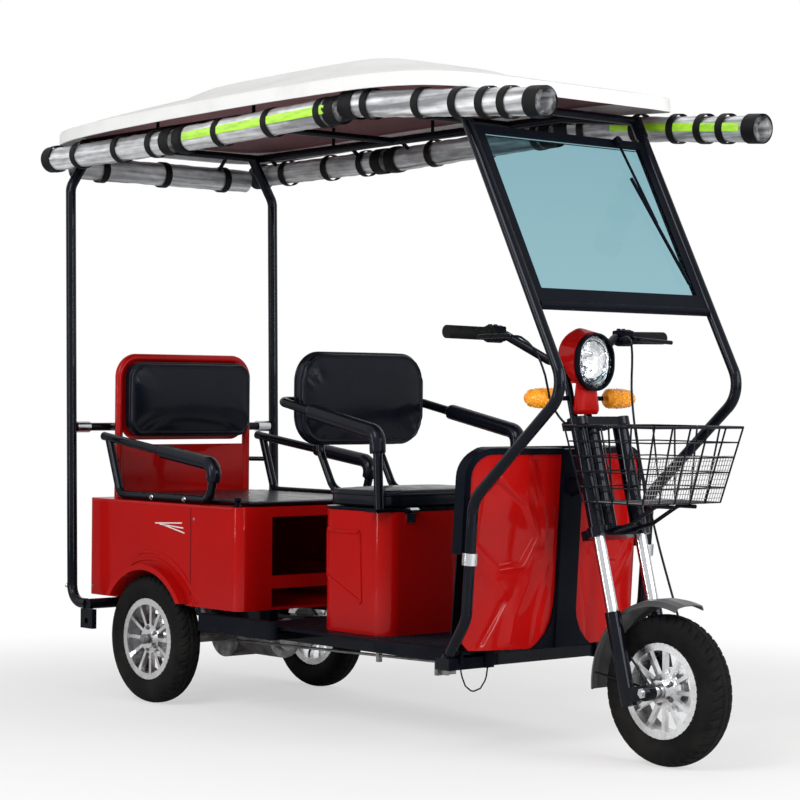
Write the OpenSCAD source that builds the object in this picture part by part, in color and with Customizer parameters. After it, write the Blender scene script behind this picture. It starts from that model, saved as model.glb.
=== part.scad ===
// Electric passenger tricycle with a hard roof, rolled side curtains and two seats.
// Millimetres, +X forward, +Y left, +Z up. Lengths below count from the rear axle,
// and the finished model is moved so that its middle stands over the origin.

/* [Wheels] */
// Outer diameter of all three tyres
tyre_od = 370; // [360:1:376]
// Width of a tyre over its side walls
tyre_w = 78; // [70:1:80]
// Diameter of the rim flange
rim_d = 234; // [228:1:236]
// Number of rim spokes
spokes = 12; // [8:1:14]
// Distance from the rear axle to the front axle
wheelbase = 1710; // [1700:1:1720]
// Distance between the middles of the two rear tyres
track = 612; // [608:1:616]

/* [Steering] */
// Lean of the steering axis from upright, degrees
rake = 15; // [14:0.5:16]
// Distance of each fork leg from the middle
leg_y = 75; // [72:1:80]
// Diameter of the bright upper fork tubes
stanchion_d = 30; // [26:1:31]
// Diameter of the black fork bottoms
slider_d = 39; // [36:1:40]
// Diameter of the handlebar tube
bar_d = 22; // [20:1:23]

/* [Body] */
// Half the width of the rear box
box_half_w = 324; // [316:1:324]
// Height of the rear deck
deck_z = 580; // [570:1:590]
// Wall of the moulded panels
wall = 4; // [3:0.5:6]
// Half the width of the driver base
base_half_w = 240; // [230:1:244]
// Height of the driver base
base_top = 588; // [580:1:592]

/* [Roof] */
// Half the width of the roof
roof_half_w = 436; // [434:1:440]
// Height of the dome above the rim
roof_dome = 105; // [80:1:120]
// Depth of the rim around the roof
roof_skirt = 35; // [30:1:40]
// Diameter of a rolled curtain
roll_d = 76; // [70:1:78]
// Diameter of the roof posts
post_d = 30; // [26:1:30]
// Diameter of the front pillars
pillar_d = 28; // [26:1:28]

/* [Hidden] */
$fn = 48;

origin_x = 720;
tyre_r = tyre_od / 2;
rim_r = rim_d / 2;
axle_z = tyre_r;
wheel_y = track / 2;

// A point on the steering axis, level with the lower fork clamp
head_x = wheelbase - 205;
// How far the front end moves forward when the wheelbase grows beyond its usual length
front_shift = wheelbase - 1710;
head_z = 554;
leg_x = 36;
// The front axle seen along the steering axis: forward of it, and along it
axle_fx = (wheelbase - head_x) * cos(rake) + (axle_z - head_z) * sin(rake);
axle_fz = (axle_z - head_z) * cos(rake) - (wheelbase - head_x) * sin(rake);

floor_top = 263;
floor_half_w = 300;
rail_y = 200;
post_y = box_half_w + 58;
pillar_y = 318;
// The roof rails run under the ring of the shell that carries its weight
rail_ring = 0.757;
rail_roof_y = floor(rail_ring * roof_half_w);
roof_rear = -455;
roof_front = 1400 + front_shift;
roof_crest = 1000 + front_shift;
roof_mid = (roof_rear + roof_front) / 2;
roof_half_l = (roof_front - roof_rear) / 2;
roof_rings = [0.2, 0.4, 0.5, 0.6, rail_ring, 0.86, 0.93, 0.975];
roof_steps = 48;
roll_y = max(post_y + 9, rail_roof_y + 61);
arm_y = box_half_w - 34;
// Middle of the upright tubes of the rear seat
seat_tube_y = box_half_w - 84;
seat_arm_y = 256;
// How far the lip over a rear tyre stands out from the box
flare_out = 32;
loop_z = deck_z + 12.8;

// Shield lean and the windshield lean, degrees from upright
shield_lean = 3.5;
screen_lean = 27.7;
pillar_path = [[1268, 252], [1328, 344], [1350, 640], [1664, 912], [1312, 1582]];
hinge_x = 946;
hinge_z = 592;

function unit(v) = v / norm(v);
function leg_dir(p, i) = unit(p[i + 1] - p[i]);
function bend_angle(p, i) = acos(leg_dir(p, i - 1) * leg_dir(p, i));
function bend_run(p, i, r) = (i <= 0 || i >= len(p) - 1) ? 0 : r * tan(bend_angle(p, i) / 2);
function smooth(a, b, t) = let (k = min(1, max(0, (t - a) / (b - a)))) k * k * (3 - 2 * k);
function side_path(p, y) = [for (q = p) [q[0], y, q[1]]];

// Lower edge of the roof, then its top skin at a share rho of the way out
function roof_low(x) = let (s = x - roof_crest) s < 0 ? 1668 - 39 * pow(s / (roof_crest - roof_rear), 2) : 1668 - 25 * pow(s / 427, 2);
function roof_reach(a) = 1 / pow(pow(abs(cos(a)) / roof_half_l, 8) + pow(abs(sin(a)) / roof_half_w, 8), 1 / 8);
function roof_rise(x, rho) = roof_skirt + (roof_dome - 30 * smooth(roof_crest - 300, roof_crest + 300, x)) * (1 - pow(rho, 1.5))
    + 16 * (1 - smooth(0.45, 0.58, rho));
function roof_plan(a, rho) = [roof_mid + rho * roof_reach(a) * cos(a), rho * roof_reach(a) * sin(a)];
function roof_point(a, rho, drop) = let (q = roof_plan(a, rho)) [q.x, q.y, roof_low(q.x) + roof_rise(q.x, rho) - drop];
// Direction of step k round the roof: the steps are closer at the corners
function even_out(s) = sign(s) * sqrt(abs(s));
function roof_turn(k) = let (t = 360 * k / roof_steps) atan2(roof_half_w * even_out(sin(t)), roof_half_l * even_out(cos(t)));
function roof_ring(rho, drop) = [for (k = [0 : roof_steps - 1]) roof_point(roof_turn(k), rho, drop)];
function roof_hem(rho) = [for (k = [0 : roof_steps - 1]) let (q = roof_plan(roof_turn(k), rho)) [q.x, q.y, roof_low(q.x)]];
function back_to_front(v) = [for (i = [len(v) - 1 : -1 : 0]) v[i]];

module placed() { translate([-origin_x, 0, 0]) children(); }
module front_placed() { placed() translate([front_shift, 0, 0]) children(); }
module both_sides() { children(); mirror([0, 1, 0]) children(); }
module in_fork() { placed() translate([head_x, 0, head_z]) rotate([0, -rake, 0]) children(); }
module in_screen() { front_placed() translate([1556, 0, 1116]) rotate([0, -screen_lean, 0]) children(); }
module along_y() { rotate([-90, 0, 0]) children(); }
module along_x() { rotate([0, 90, 0]) children(); }
module block(x0, x1, y0, y1, z0, z1) { translate([x0, y0, z0]) cube([x1 - x0, y1 - y0, z1 - z0]); }

// Straight round bar between two points
module rod(p, q, d, sides = 48) {
    v = q - p;
    translate(p) rotate([0, acos(v.z / norm(v)), atan2(v.y, v.x)]) cylinder(d = d, h = norm(v), $fn = sides);
}

// Round tube along a path, with one bend radius at every corner.
// A bend is a touch fatter than the straights that run into it.
module bent_tube(p, r, d) {
    last = len(p) - 2;
    for (i = [0 : last]) {
        u = leg_dir(p, i);
        rod(p[i] + u * (bend_run(p, i, r) - (i > 0 ? 1.5 : 0)), p[i + 1] - u * (bend_run(p, i + 1, r) - (i < last ? 1.5 : 0)), d);
    }
    for (i = [1 : last]) {
        u = leg_dir(p, i - 1);
        w = leg_dir(p, i);
        n = unit(w - u * (u * w));
        z = cross(-n, u);
        c = p[i] - u * bend_run(p, i, r) + n * r;
        multmatrix([[-n.x, u.x, z.x, c.x], [-n.y, u.y, z.y, c.y], [-n.z, u.z, z.z, c.z], [0, 0, 0, 1]])
            rotate_extrude(angle = bend_angle(p, i)) translate([r, 0]) circle(d = d + 0.4);
    }
}

// Flat outline with round corners, centred
module round_rect(l, w, r) {
    square([l - 2 * r, w], center = true);
    square([l, w - 2 * r], center = true);
    for (sx = [-1, 1], sy = [-1, 1]) translate([sx * (l / 2 - r), sy * (w / 2 - r)]) circle(r);
}

// Upright box with round vertical corners
module round_box(x0, x1, half_w, z0, z1, r) {
    translate([(x0 + x1) / 2, 0, z0]) linear_extrude(z1 - z0) round_rect(x1 - x0, 2 * half_w, r);
}

// Slab facing forward, with round corners seen from the front
module face_slab(x0, x1, half_w, z0, z1, r) {
    translate([x0, 0, (z0 + z1) / 2]) rotate([90, 0, 90]) linear_extrude(x1 - x0) round_rect(2 * half_w, z1 - z0, r);
}

// Closed skin through rings of points, with a point at each end
module ring_solid(first, rings, last) {
    n = len(rings[0]);
    m = len(rings);
    points = concat([first], [for (r = rings) for (q = r) q], [last]);
    at = function (i, k) 1 + i * n + k % n;
    polyhedron(points, concat(
        [for (k = [0 : n - 1]) [0, at(0, k + 1), at(0, k)]],
        [for (i = [0 : m - 2]) for (k = [0 : n - 1]) [at(i, k), at(i, k + 1), at(i + 1, k + 1)]],
        [for (i = [0 : m - 2]) for (k = [0 : n - 1]) [at(i, k), at(i + 1, k + 1), at(i + 1, k)]],
        [for (k = [0 : n - 1]) [at(m - 1, k), at(m - 1, k + 1), 1 + m * n]]));
}

module tyre() {
    half = tyre_w / 2;
    side = [[rim_r - 11.7, 25.6], [rim_r + 0.3, 25.6], [rim_r + 1.5, 29], [rim_r + 12, half - 3], [rim_r + 30, half],
        [tyre_r - 22, half - 2], [tyre_r - 9, half - 10], [tyre_r - 2.5, half - 23], [tyre_r, half - 33]];
    rotate_extrude() polygon(concat(side, [for (q = back_to_front(side)) [q[0], -q[1]]]));
}

// Cast wheel, its outer face towards +Z
module rim(bore, hub_in, hub_out, drum_r) {
    difference() {
        union() {
            rotate_extrude() polygon([[rim_r - 18, -30], [rim_r, -30], [rim_r, -26], [rim_r - 12, -25.9],
                [rim_r - 12, 25.9], [rim_r, 26], [rim_r, 30], [rim_r - 18, 30]]);
            translate([0, 0, -hub_in]) cylinder(r = 27, h = hub_in + hub_out);
            cylinder(r = 42, h = 20);
            translate([0, 0, -hub_in + 4]) cylinder(r = drum_r, h = 22);
            for (k = [0 : spokes - 1]) rotate(k * 360 / spokes)
                translate([38, -5, 4]) cube([rim_r - 52, 10, 14]);
        }
        translate([0, 0, -hub_in - 1]) cylinder(r = bore, h = hub_in + hub_out + 2);
    }
}

module chassis_frame() color("black") placed() {
    both_sides() {
        block(-330, 416, rail_y - 15, rail_y + 15, 252, 292.5);
        block(380, 1290 + front_shift, rail_y - 15, rail_y + 15, 215, 254.8);
        translate([front_shift, 0, 0]) {
            block(1235, 1285, rail_y, pillar_y + 17, 215, 244);
            rod([1268, pillar_y, 252], [1250, pillar_y, 224.7], 34);
        }
    }
    for (x = [-315, 60]) block(x - 15, x + 15, -rail_y, rail_y, 262, 292);
    for (x = [405, 700, 960, 1262 + front_shift]) block(x - 18, x + 18, -rail_y, rail_y, 218, 248);
    rod([-225, -post_y - 8, 272], [-225, post_y + 8, 272], 30);
}

// Plates below the ends of the rear cross tube, each with a hole for a hook
module tie_down_plates() color("black") placed() both_sides() difference() {
    block(-262, -202, post_y - 8, post_y + 8, 200, 256.8);
    translate([-232, post_y - 20, 222]) along_y() cylinder(r = 9, h = 40);
}

module head_post() color("black") placed() difference() {
    union() {
        bent_tube([[1261.6 + front_shift, 0, 250.2], [1296 + front_shift, 0, 640], [head_x - 145 * sin(rake), 0, head_z + 145 * cos(rake)]], 60, 44);
        translate([head_x, 0, head_z]) rotate([0, -rake, 0]) translate([0, 0, 17]) cylinder(r = 25, h = 248);
    }
    translate([head_x, 0, head_z]) rotate([0, -rake, 0]) cylinder(r = 16.05, h = 300);
}

module rear_axle() color("dimgray") placed() translate([0, 0, axle_z]) {
    along_y() translate([0, 0, -245]) cylinder(r = 22, h = 490);
    along_y() translate([0, 0, -55]) cylinder(r = 70, h = 110);
    both_sides() {
        translate([0, 240, 0]) along_y() cylinder(r = 10, h = 112);
        translate([0, 250, 0]) along_y() cylinder(r = 62, h = 5);
        translate([0, 340, 0]) along_y() cylinder(r = 14, h = 10);
        block(-32, 32, rail_y - 24, rail_y + 24, 10, 24);
    }
}

module drive_motor() color("dimgray") placed() {
    translate([70.3, 0, axle_z]) along_x() cylinder(r = 58, h = 150);
    translate([220, 0, axle_z]) along_x() cylinder(r = 36, h = 16);
}

// Upper face of the leaf pack, bowed up towards its ends
function leaf_top(x) = axle_z + 22.7 + 17.8 + x * x / 3200;
leaf_half = [[275, 6], [200, 6], [200, 12], [130, 12], [130, 17.8], [65, 17.8]];
module leaf_springs() color("black") placed() both_sides() translate([0, rail_y + 22, 0]) {
    rotate([90, 0, 0]) linear_extrude(44) polygon(concat([for (x = [-275 : 25 : 275]) [x, leaf_top(x)]],
        [for (q = leaf_half) [q[0], leaf_top(q[0]) - q[1]]], [for (q = back_to_front(leaf_half)) [-q[0], leaf_top(q[0]) - q[1]]]));
    for (x = [-282, 282]) translate([x, -44, 238.6]) along_y() cylinder(r = 13, h = 44);
}

module floor_pan() color("black") placed() difference() {
    union() {
        block(424, 1292 + front_shift, -floor_half_w, floor_half_w, 255, floor_top);
        both_sides() block(960, 1292 + front_shift, floor_half_w - 8, floor_half_w, 232, 256);
    }
    translate([front_shift, 0, 0]) {
        both_sides() {
            rod([1284, pillar_y, 276], [1240, pillar_y, 209], 40);
            block(1233, 1287, 280, 310, 225, 246);
        }
        rod([1256, 0, 186.7], [1265, 0, 288.7], 46);
    }
}

module side_steps() color("black") placed() both_sides() {
    translate([410, floor_half_w + 24, 230]) linear_extrude(48) round_rect(340, 24, 11);
    for (x = [450, 540]) block(x - 12, x + 12, rail_y + 15, floor_half_w + 16, 226, 244);
}

module brake_linkage() color("gray") placed() {
    rod([120, -100, 176], [1046 + front_shift, -100, 196], 8);
    translate([front_shift, 0, 0]) {
        block(1040, 1052, -160, -94, 168, 255);
        block(1046, 1076, -150, -140, 170, 186);
    }
    block(745, 757, -106, -94, 172, 218);
}

module rear_body() color("firebrick") placed() difference() {
    union() {
        difference() {
            union() {
                round_box(-326, 415, box_half_w, 293, deck_z, 30);
                both_sides() wheel_flare();
            }
            round_box(-326 + wall, 415 - wall, box_half_w - wall, 293 + wall, deck_z - wall, 26);
        }
        both_sides() intersection() {
            translate([0, wheel_y - 49 - wall, axle_z]) along_y() cylinder(r = 200 + wall, h = box_half_w - wheel_y + 49 + wall);
            block(-260, 260, 0, box_half_w, 293, 480);
        }
    }
    both_sides() translate([0, wheel_y - 49, axle_z]) along_y() cylinder(r = 200, h = box_half_w - wheel_y + 49 + flare_out + 1);
    both_sides() translate([0, wheel_y - 49, 57]) along_y() cylinder(r = 306, h = 30);
    block(400, 420, 117 - box_half_w, box_half_w - 117, 388, 552);
    block(400, 420, 117 - box_half_w, box_half_w - 117, 300, 352);
}

// Lip that stands out over the tyre
module wheel_flare() {
    intersection() {
        translate([0, box_half_w - 24, axle_z]) along_y() cylinder(r = 216, h = 24 + flare_out);
        block(-260, 260, box_half_w - 24, box_half_w + flare_out + 4, 300, 480);
    }
}

module tail_lamps() color("red") placed() both_sides()
    block(-344, -326.3, box_half_w - 109, box_half_w - 39, 420, 520);

module driver_base() color("firebrick") placed() difference() {
    round_box(664, 934, base_half_w, floor_top + 0.2, base_top, 50);
    round_box(664 + wall, 934 - wall, base_half_w - wall, floor_top - 1, base_top + 1, 46);
}

module battery_pack() color("dimgray") placed() block(690, 900, -170, 170, floor_top + 0.2, 470);

module in_shield() { translate([1296 + front_shift, 0, floor_top + 0.4]) rotate([0, shield_lean, 0]) children(); }

// Plan of the shield: bowed forward, lowest at the outer edges
function bow(y) = 46 * (1 - pow(abs(y) / 303, 2.2));
module shield_strip(y0, y1, out, thick, h) {
    n = 8;
    ys = [for (k = [0 : n]) y0 + (y1 - y0) * k / n];
    linear_extrude(h) polygon(concat([for (y = ys) [bow(y) + out, y]], [for (y = back_to_front(ys)) [bow(y) + out - thick, y]]));
}

// A shape cut out of the shield as seen from the front, y across and z up
module shield_cut(outline) { translate([-60, 0, 0]) rotate([90, 0, 90]) linear_extrude(180) polygon(outline); }
function corner_arc(r) = [for (a = [0 : 10 : 90]) [243 + r * cos(a), 430 + r * sin(a)]];
flare = [[34, 150], [36, 110], [44, 70], [60, 38], [84, 14], [104, 0]];

module leg_shield_wings() color("firebrick") placed() both_sides() in_shield() intersection() {
    shield_strip(34.4, 302.5, 0, 5, 490);
    shield_cut(concat([[20, 500], [34.4, 150]], [for (q = flare) q + [0.5, 0.3]], [[110, -1], [285, -1], [303, 17]], corner_arc(60), [[243, 500]]));
}

module leg_shield_spine() color("black") placed() difference() {
    in_shield() union() {
        shield_strip(-34, 34, 14, 22, 505);
        both_sides() intersection() {
            shield_strip(28, 320, 4, 34, 520);
            shield_cut(concat([[28, 490.4]], back_to_front(corner_arc(60.4)), [[303.4, 240], [319.4, 240]], corner_arc(76.4), [[28, 506.4]]));
        }
        both_sides() intersection() {
            shield_strip(28, 130, 9, 15, 160);
            shield_cut(concat([[28, 150]], flare, [[28, 0]]));
        }
    }
    translate([front_shift, 0, 0]) rod([1280, 0, 634.96], [1480, 0, 698.01], 44.6);
}

module leg_shield_inner() color("black") placed() in_shield() translate([-64, 0, 0]) rotate([0, 2, 0])
    translate([60, 0, 0]) intersection() {
        translate([-60, -285, -3.5]) cube([4, 570, 508]);
        shield_cut(concat([[-285, -10], [285, -10]], [for (a = [0 : 15 : 90]) [225 + 60 * cos(a), 444 + 60 * sin(a)]],
            [for (a = [90 : 15 : 180]) [-225 + 60 * cos(a), 444 + 60 * sin(a)]]));
    }

module rear_posts() color("black") placed() {
    both_sides() bent_tube([[-240.4, post_y, 272], [-318, post_y, 272], [-345, post_y, 1505], [-345, rail_roof_y + 9.2, 1575]], 50, post_d);
    rod([-336, -post_y, 791], [-336, post_y, 791], 24);
    both_sides() rod([-336, seat_tube_y, 791], [-302.4, seat_tube_y, 791], 18);
}

module front_pillars() color("black") front_placed() both_sides() bent_tube(side_path(pillar_path, pillar_y), 80, pillar_d);

module post_clamps() color("silver") placed() both_sides() {
    translate([-336, post_y - 64, 791]) along_y() difference() {
        cylinder(d = 34, h = 46);
        translate([0, 0, -1]) cylinder(d = 24.6, h = 60);
    }
    translate([1338 + front_shift, pillar_y, 480]) rotate([0, 4.25, 0]) difference() {
        cylinder(d = pillar_d + 12, h = 30);
        translate([0, 0, -1]) cylinder(d = pillar_d + 1.6, h = 40);
    }
}

// One roll hanger, from the rail towards a roll
module hanger(p, roll) {
    v = roll - p;
    rod(p, p + unit(v) * (norm(v) - roll_d / 2 - 0.4), 12);
}

module roof_frame() color("black") placed() {
    both_sides() {
        bent_tube([[-359, rail_roof_y, 1639.8], [roof_crest, rail_roof_y, 1660], [roof_crest + 300, pillar_y - 0.5, 1626.7]], 90, 25);
        rod([-345, rail_roof_y + 9.2, 1575], [-345, rail_roof_y - 30.6, 1640], 31);
        for (k = [9, 12, 15]) let (q = roof_point(roof_turn(k), rail_ring, 8.5))
            rod([q.x, q.y, 1650], [q.x, q.y, q.z - 2.6], 10);
        for (h = [[-300, 1641, 1598], [100, 1647, 1602], [330, 1650, 1606], [820 + front_shift, 1657, 1625]])
            hanger([h[0], rail_roof_y, h[1]], [h[0], roll_y, h[2]]);
        translate([front_shift, 0, 0]) {
            rod([1312, pillar_y, 1582], [1287.9, pillar_y, 1628], 34);
            hanger([1010, rail_roof_y, 1659], [1010, roll_y, 1635]);
            hanger([1270, 321, 1630], [1270, roll_y, 1615]);
        }
    }
    rod([-345, -rail_roof_y, 1640], [-345, rail_roof_y, 1640], 22);
    rod([1288 + front_shift, -pillar_y, 1628], [1288 + front_shift, pillar_y, 1628], 22);
    for (x = [300, 800 + front_shift]) let (z = 1640 + (x + 345) * 20 / (roof_crest + 345))
        rod([x, -rail_roof_y, z], [x, rail_roof_y, z], 20);
    for (y = [-200, 200]) hanger([-345, y, 1640], [-414, y, 1572]);
}

module roof_shell() color("white") placed() ring_solid(roof_point(0, 0, 0),
    concat([for (r = roof_rings) roof_ring(r, 0)], [roof_ring(0.994, 5), roof_hem(1), roof_hem(0.986), roof_ring(0.98, 9)],
        [for (r = back_to_front([for (i = [0 : len(roof_rings) - 2]) roof_rings[i]])) roof_ring(r, 5)]),
    roof_point(0, 0, 5));

module roof_lining() color("maroon") placed() ring_solid(roof_point(0, 0, 5.9),
    concat([for (i = [0 : len(roof_rings) - 2]) roof_ring(roof_rings[i], 5.9)], [roof_ring(0.955, 8.6), roof_ring(0.955, 11.6)],
        [for (i = [len(roof_rings) - 2 : -1 : 0]) roof_ring(roof_rings[i], 8.9)]),
    roof_point(0, 0, 8.9));

module screen_plate(half_w, z0, z1, t) { translate([-t / 2, -half_w, z0]) cube([t, 2 * half_w, z1 - z0]); }

module windshield_frame() color("black") in_screen() difference() {
    union() {
        screen_plate(303.6, 0, 506, 14);
        along_y() translate([0, 0, -303]) cylinder(d = 22, h = 606);
    }
    translate([-20, -280, 44]) cube([40, 560, 438]);
}

module windshield_glass() color([0.3, 0.6, 0.6, 0.5]) in_screen() screen_plate(279.7, 44.3, 481.7, 5);

module wiper() color("black") in_screen() {
    translate([7.2, 196, 496]) along_x() cylinder(r = 12, h = 14);
    translate([14, 0, 0]) rod([0, 196, 496], [0, 226, 250], 7);
    translate([12, 0, 0]) rod([0, 196, 385], [0, 262, 75], 9);
}

module roll(p, q) { rod(p, q, roll_d); }

module right_rolls() {
    roll([-437, roll_y, 1592], [206, roll_y, 1602]);
    roll([226, roll_y, 1602], [926 + front_shift, roll_y, 1629]);
    roll([946 + front_shift, roll_y, 1640], [1663 + front_shift, roll_y, 1585]);
}

module curtain_rolls_right() color("lightgray") placed() mirror([0, 1, 0]) right_rolls();
module curtain_rolls_left() color("lightgray") placed() right_rolls();
module curtain_roll_rear() color("lightgray") placed() roll([-414, -325, 1572], [-414, 325, 1572]);

module rear_seat_frame() color("firebrick") placed() {
    bent_tube([[-290, -seat_tube_y, deck_z + 0.3], [-290, -seat_tube_y, 1000], [-290, seat_tube_y, 1000],
        [-290, seat_tube_y, deck_z + 0.3]], 60, 24);
    block(-294, -286, -seat_tube_y, seat_tube_y, deck_z + 0.5, 738);
    face_slab(-296, -288, seat_tube_y - 8, 752, 990, 56);
}

module rear_seat_back() color("black") placed() face_slab(-287.7, -236, seat_tube_y - 14, 764, 986, 46);
module rear_seat_pad() color("black") placed() round_box(-262, 402, box_half_w - 54, deck_z + 0.2, deck_z + 17, 40);

arm_bend = 32;
arm_path = [[-268, 760.5], [-205, loop_z], [232, loop_z], [262, 694], [-295, 764]];
module rear_armrests() color("black") placed() both_sides() {
    bent_tube(side_path(arm_path, arm_y), arm_bend, 25);
    rod([-241, arm_y, 690], [-283.8, seat_tube_y + 11.8, 690], 14);
}

// Padded sleeve along an arm tube and round its front bend, on the tube's own corner p[1] and bend radius
module arm_sleeve(p, r, d) {
    u = leg_dir(p, 0);
    w = leg_dir(p, 1);
    difference() {
        bent_tube(p, r, d);
        bent_tube([p[0] - u, p[1], p[2] + w], r, 25.6);
    }
}

// Point on the tube from p to q, a length s from p
function on_tube(p, q, s) = p + unit(q - p) * s;

module rear_arm_pads() color("black") placed() both_sides() let (p = side_path(arm_path, arm_y))
    arm_sleeve([on_tube(p[3], p[4], 264), p[3], on_tube(p[3], p[2], 52)], arm_bend, 46);

module seat_hinges() color("silver") placed() both_sides() difference() {
    union() {
        translate([hinge_x, 140, hinge_z]) along_y() cylinder(r = 8, h = 30);
        block(934.3, 939, 140, 170, 560, hinge_z);
        block(936, hinge_x, 140, 170, hinge_z - 8, hinge_z - 2);
    }
    translate([hinge_x, 130, hinge_z]) along_y() cylinder(r = 4.05, h = 60);
}

module driver_seat_pan() color("black") placed() {
    round_box(650, 932, 225, base_top + 0.4, base_top + 8, 40);
    block(890, 932, -272, 272, base_top + 0.4, base_top + 8);
    both_sides() {
        translate([hinge_x, 132, hinge_z]) along_y() cylinder(r = 4, h = 46);
        translate([hinge_x, 172, hinge_z]) along_y() cylinder(r = 8, h = 8);
        block(925, hinge_x, 172, 180, hinge_z - 3, hinge_z + 4);
    }
}

module driver_cushion() color("black") placed() round_box(645, 902, 215, base_top + 8.3, 650, 60);
module driver_back() color("black") placed() face_slab(518, 572, 223, 757, 1012, 80);

// Driver's arm, from its foot up and back to the seat back
seat_arm_path = [[925, base_top + 9], [915, 796], [505, 876]];
seat_arm_bend = 30;
module driver_seat_frame() color("black") placed() {
    bent_tube(concat(side_path(seat_arm_path, -seat_arm_y), side_path(back_to_front(seat_arm_path), seat_arm_y)), seat_arm_bend, 25);
    both_sides() {
        bent_tube([[630, 110, 612], [560, 110, 640], [505, 110, 735], [505, 110, 880]], 50, 22);
        block(620, 642, 98, 122, base_top + 8.3, 624);
    }
}

module driver_arm_pads() color("black") placed() both_sides() let (p = side_path(seat_arm_path, seat_arm_y))
    arm_sleeve([on_tube(p[1], p[2], 282), p[1], on_tube(p[1], p[0], 56)], seat_arm_bend, 48);

module clamp_plate(z0, z1) {
    difference() {
        translate([0, 0, z0]) linear_extrude(z1 - z0) {
            translate([16, 0]) square([72, 2 * leg_y], center = true);
            for (s = [-1, 1]) translate([leg_x, s * leg_y]) circle(r = 26);
        }
        for (s = [-1, 1]) translate([leg_x, s * leg_y, z0 - 1]) cylinder(d = stanchion_d + 0.6, h = z1 - z0 + 2);
    }
}

module steering_clamps() color("black") in_fork() {
    clamp_plate(-12, 12);
    clamp_plate(270, 290);
    cylinder(r = 16, h = 290);
}

module fork_stanchions() color("silver") in_fork() for (s = [-1, 1])
    translate([leg_x, s * leg_y, -215]) cylinder(d = stanchion_d, h = 505);

module fork_sliders() color("black") in_fork() for (s = [-1, 1]) difference() {
    union() {
        translate([leg_x, s * leg_y, -432]) cylinder(d = slider_d, h = 232);
        translate([axle_fx, s * leg_y - 12, axle_fz]) along_y() cylinder(r = 20, h = 24);
        translate([leg_x, s * leg_y - 12, axle_fz - 16]) cube([axle_fx - leg_x, 24, 36]);
    }
    translate([leg_x, s * leg_y, -215.3]) cylinder(d = stanchion_d + 0.6, h = 100);
    translate([axle_fx, s * leg_y - 20, axle_fz]) along_y() cylinder(r = 7.8, h = 40);
}

module fork_covers() color("black") in_fork() for (s = [-1, 1]) difference() {
    translate([leg_x, s * leg_y, 12.3]) cylinder(r = 20, h = 257.4);
    translate([leg_x, s * leg_y, 0]) cylinder(d = stanchion_d + 0.6, h = 300);
}

module front_axle() color("silver") in_fork() translate([axle_fx, 0, axle_fz]) {
    along_y() translate([0, 0, -102]) cylinder(r = 7.5, h = 204);
    both_sides() {
        translate([0, 45, 0]) along_y() cylinder(r = 12, h = 17.7);
        translate([0, 87.3, 0]) along_y() cylinder(r = 13, h = 10, $fn = 6);
    }
}

bar_path = [[1326, -386, 1053], [1332, -200, 1050], [1368, -75, 985], [1368, 75, 985], [1332, 200, 1050], [1326, 386, 1053]];
module handlebar() color("black") {
    front_placed() bent_tube(bar_path, 40, bar_d);
    in_fork() for (s = [-1, 1]) translate([-20, s * 26, 290.3]) cylinder(r = 10, h = 162);
    front_placed() rod([1393, -88, 892], [1393, 88, 892], 12);
}

module grips() color("black") front_placed() both_sides() {
    u = unit(bar_path[1] - bar_path[0]);
    mirror([0, 1, 0]) difference() {
        union() {
            rod(bar_path[0] - 5 * u, bar_path[0] + 130 * u, 33);
            rod(bar_path[0] + 132 * u, bar_path[0] + 172 * u, 44);
        }
        rod(bar_path[0] - 0.3 * u, bar_path[0] + 176 * u, bar_d + 0.6);
    }
}

module brake_levers() color("black") front_placed() both_sides() {
    bent_tube([[1354.5, 236, 1050], [1388, 232, 1046], [1394, 350, 1040]], 12, 11);
}

// Front of the headlight: its place, its round ends and the straight between them
lamp_x = 1444;
lamp_z = 984;
lamp_r = 64;
lamp_h = 14;
module headlight_outline(r, h) {
    square([2 * r, h], center = true);
    for (s = [-1, 1]) translate([0, s * h / 2]) circle(r);
}

// Cowl behind the lens, with a neck that runs down to the upper clamp
module headlight_solid(grow) {
    hull() {
        translate([lamp_x - 4 + grow, 0, lamp_z]) rotate([90, 0, 90]) linear_extrude(0.5) headlight_outline(lamp_r + 1 + grow, lamp_h, $fn = 32);
        translate([1384, 0, 1000]) sphere(r = 54 + grow, $fn = 32);
        translate([1400, 0, 1042]) sphere(r = 24 + grow, $fn = 32);
    }
    hull() {
        translate([1404, 0, 930]) sphere(r = 34 + grow, $fn = 24);
        for (s = [-1, 1]) translate([1420, s * 22, 866]) sphere(r = 16 + grow, $fn = 24);
    }
}

module headlight_shell() color("firebrick") front_placed() difference() {
    headlight_solid(4);
    headlight_solid(0);
    translate([lamp_x - 8, 0, lamp_z]) rotate([90, 0, 90]) linear_extrude(20) headlight_outline(lamp_r - 4, lamp_h);
    block(1300, 1379.4, -150, 150, 800, 1110);
    block(1340, 1405, -150, 150, 830, 972);
    block(1330, 1420, -42, 42, 830, 930);
    block(1380, 1500, -80, 80, 830, 852);
}

module headlight_bezel() color("silver") front_placed() translate([lamp_x + 0.8, 0, lamp_z]) rotate([90, 0, 90]) difference() {
    linear_extrude(14) headlight_outline(lamp_r + 2, lamp_h);
    translate([0, 0, -1]) linear_extrude(20) headlight_outline(lamp_r - 4, lamp_h);
}

module headlight_lens() color([0.9, 0.95, 1, 0.6]) front_placed() translate([lamp_x + 0.9, 0, lamp_z]) rotate([90, 0, 90])
    linear_extrude(18) headlight_outline(lamp_r - 4.4, lamp_h);

module indicators() color("orange") front_placed() both_sides() translate([1404, 0, 892]) along_y()
    rotate_extrude() polygon([[0, 88.3], [14, 88.3], [24, 100], [25, 140], [22, 172], [14, 188], [0, 194]]);

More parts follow.
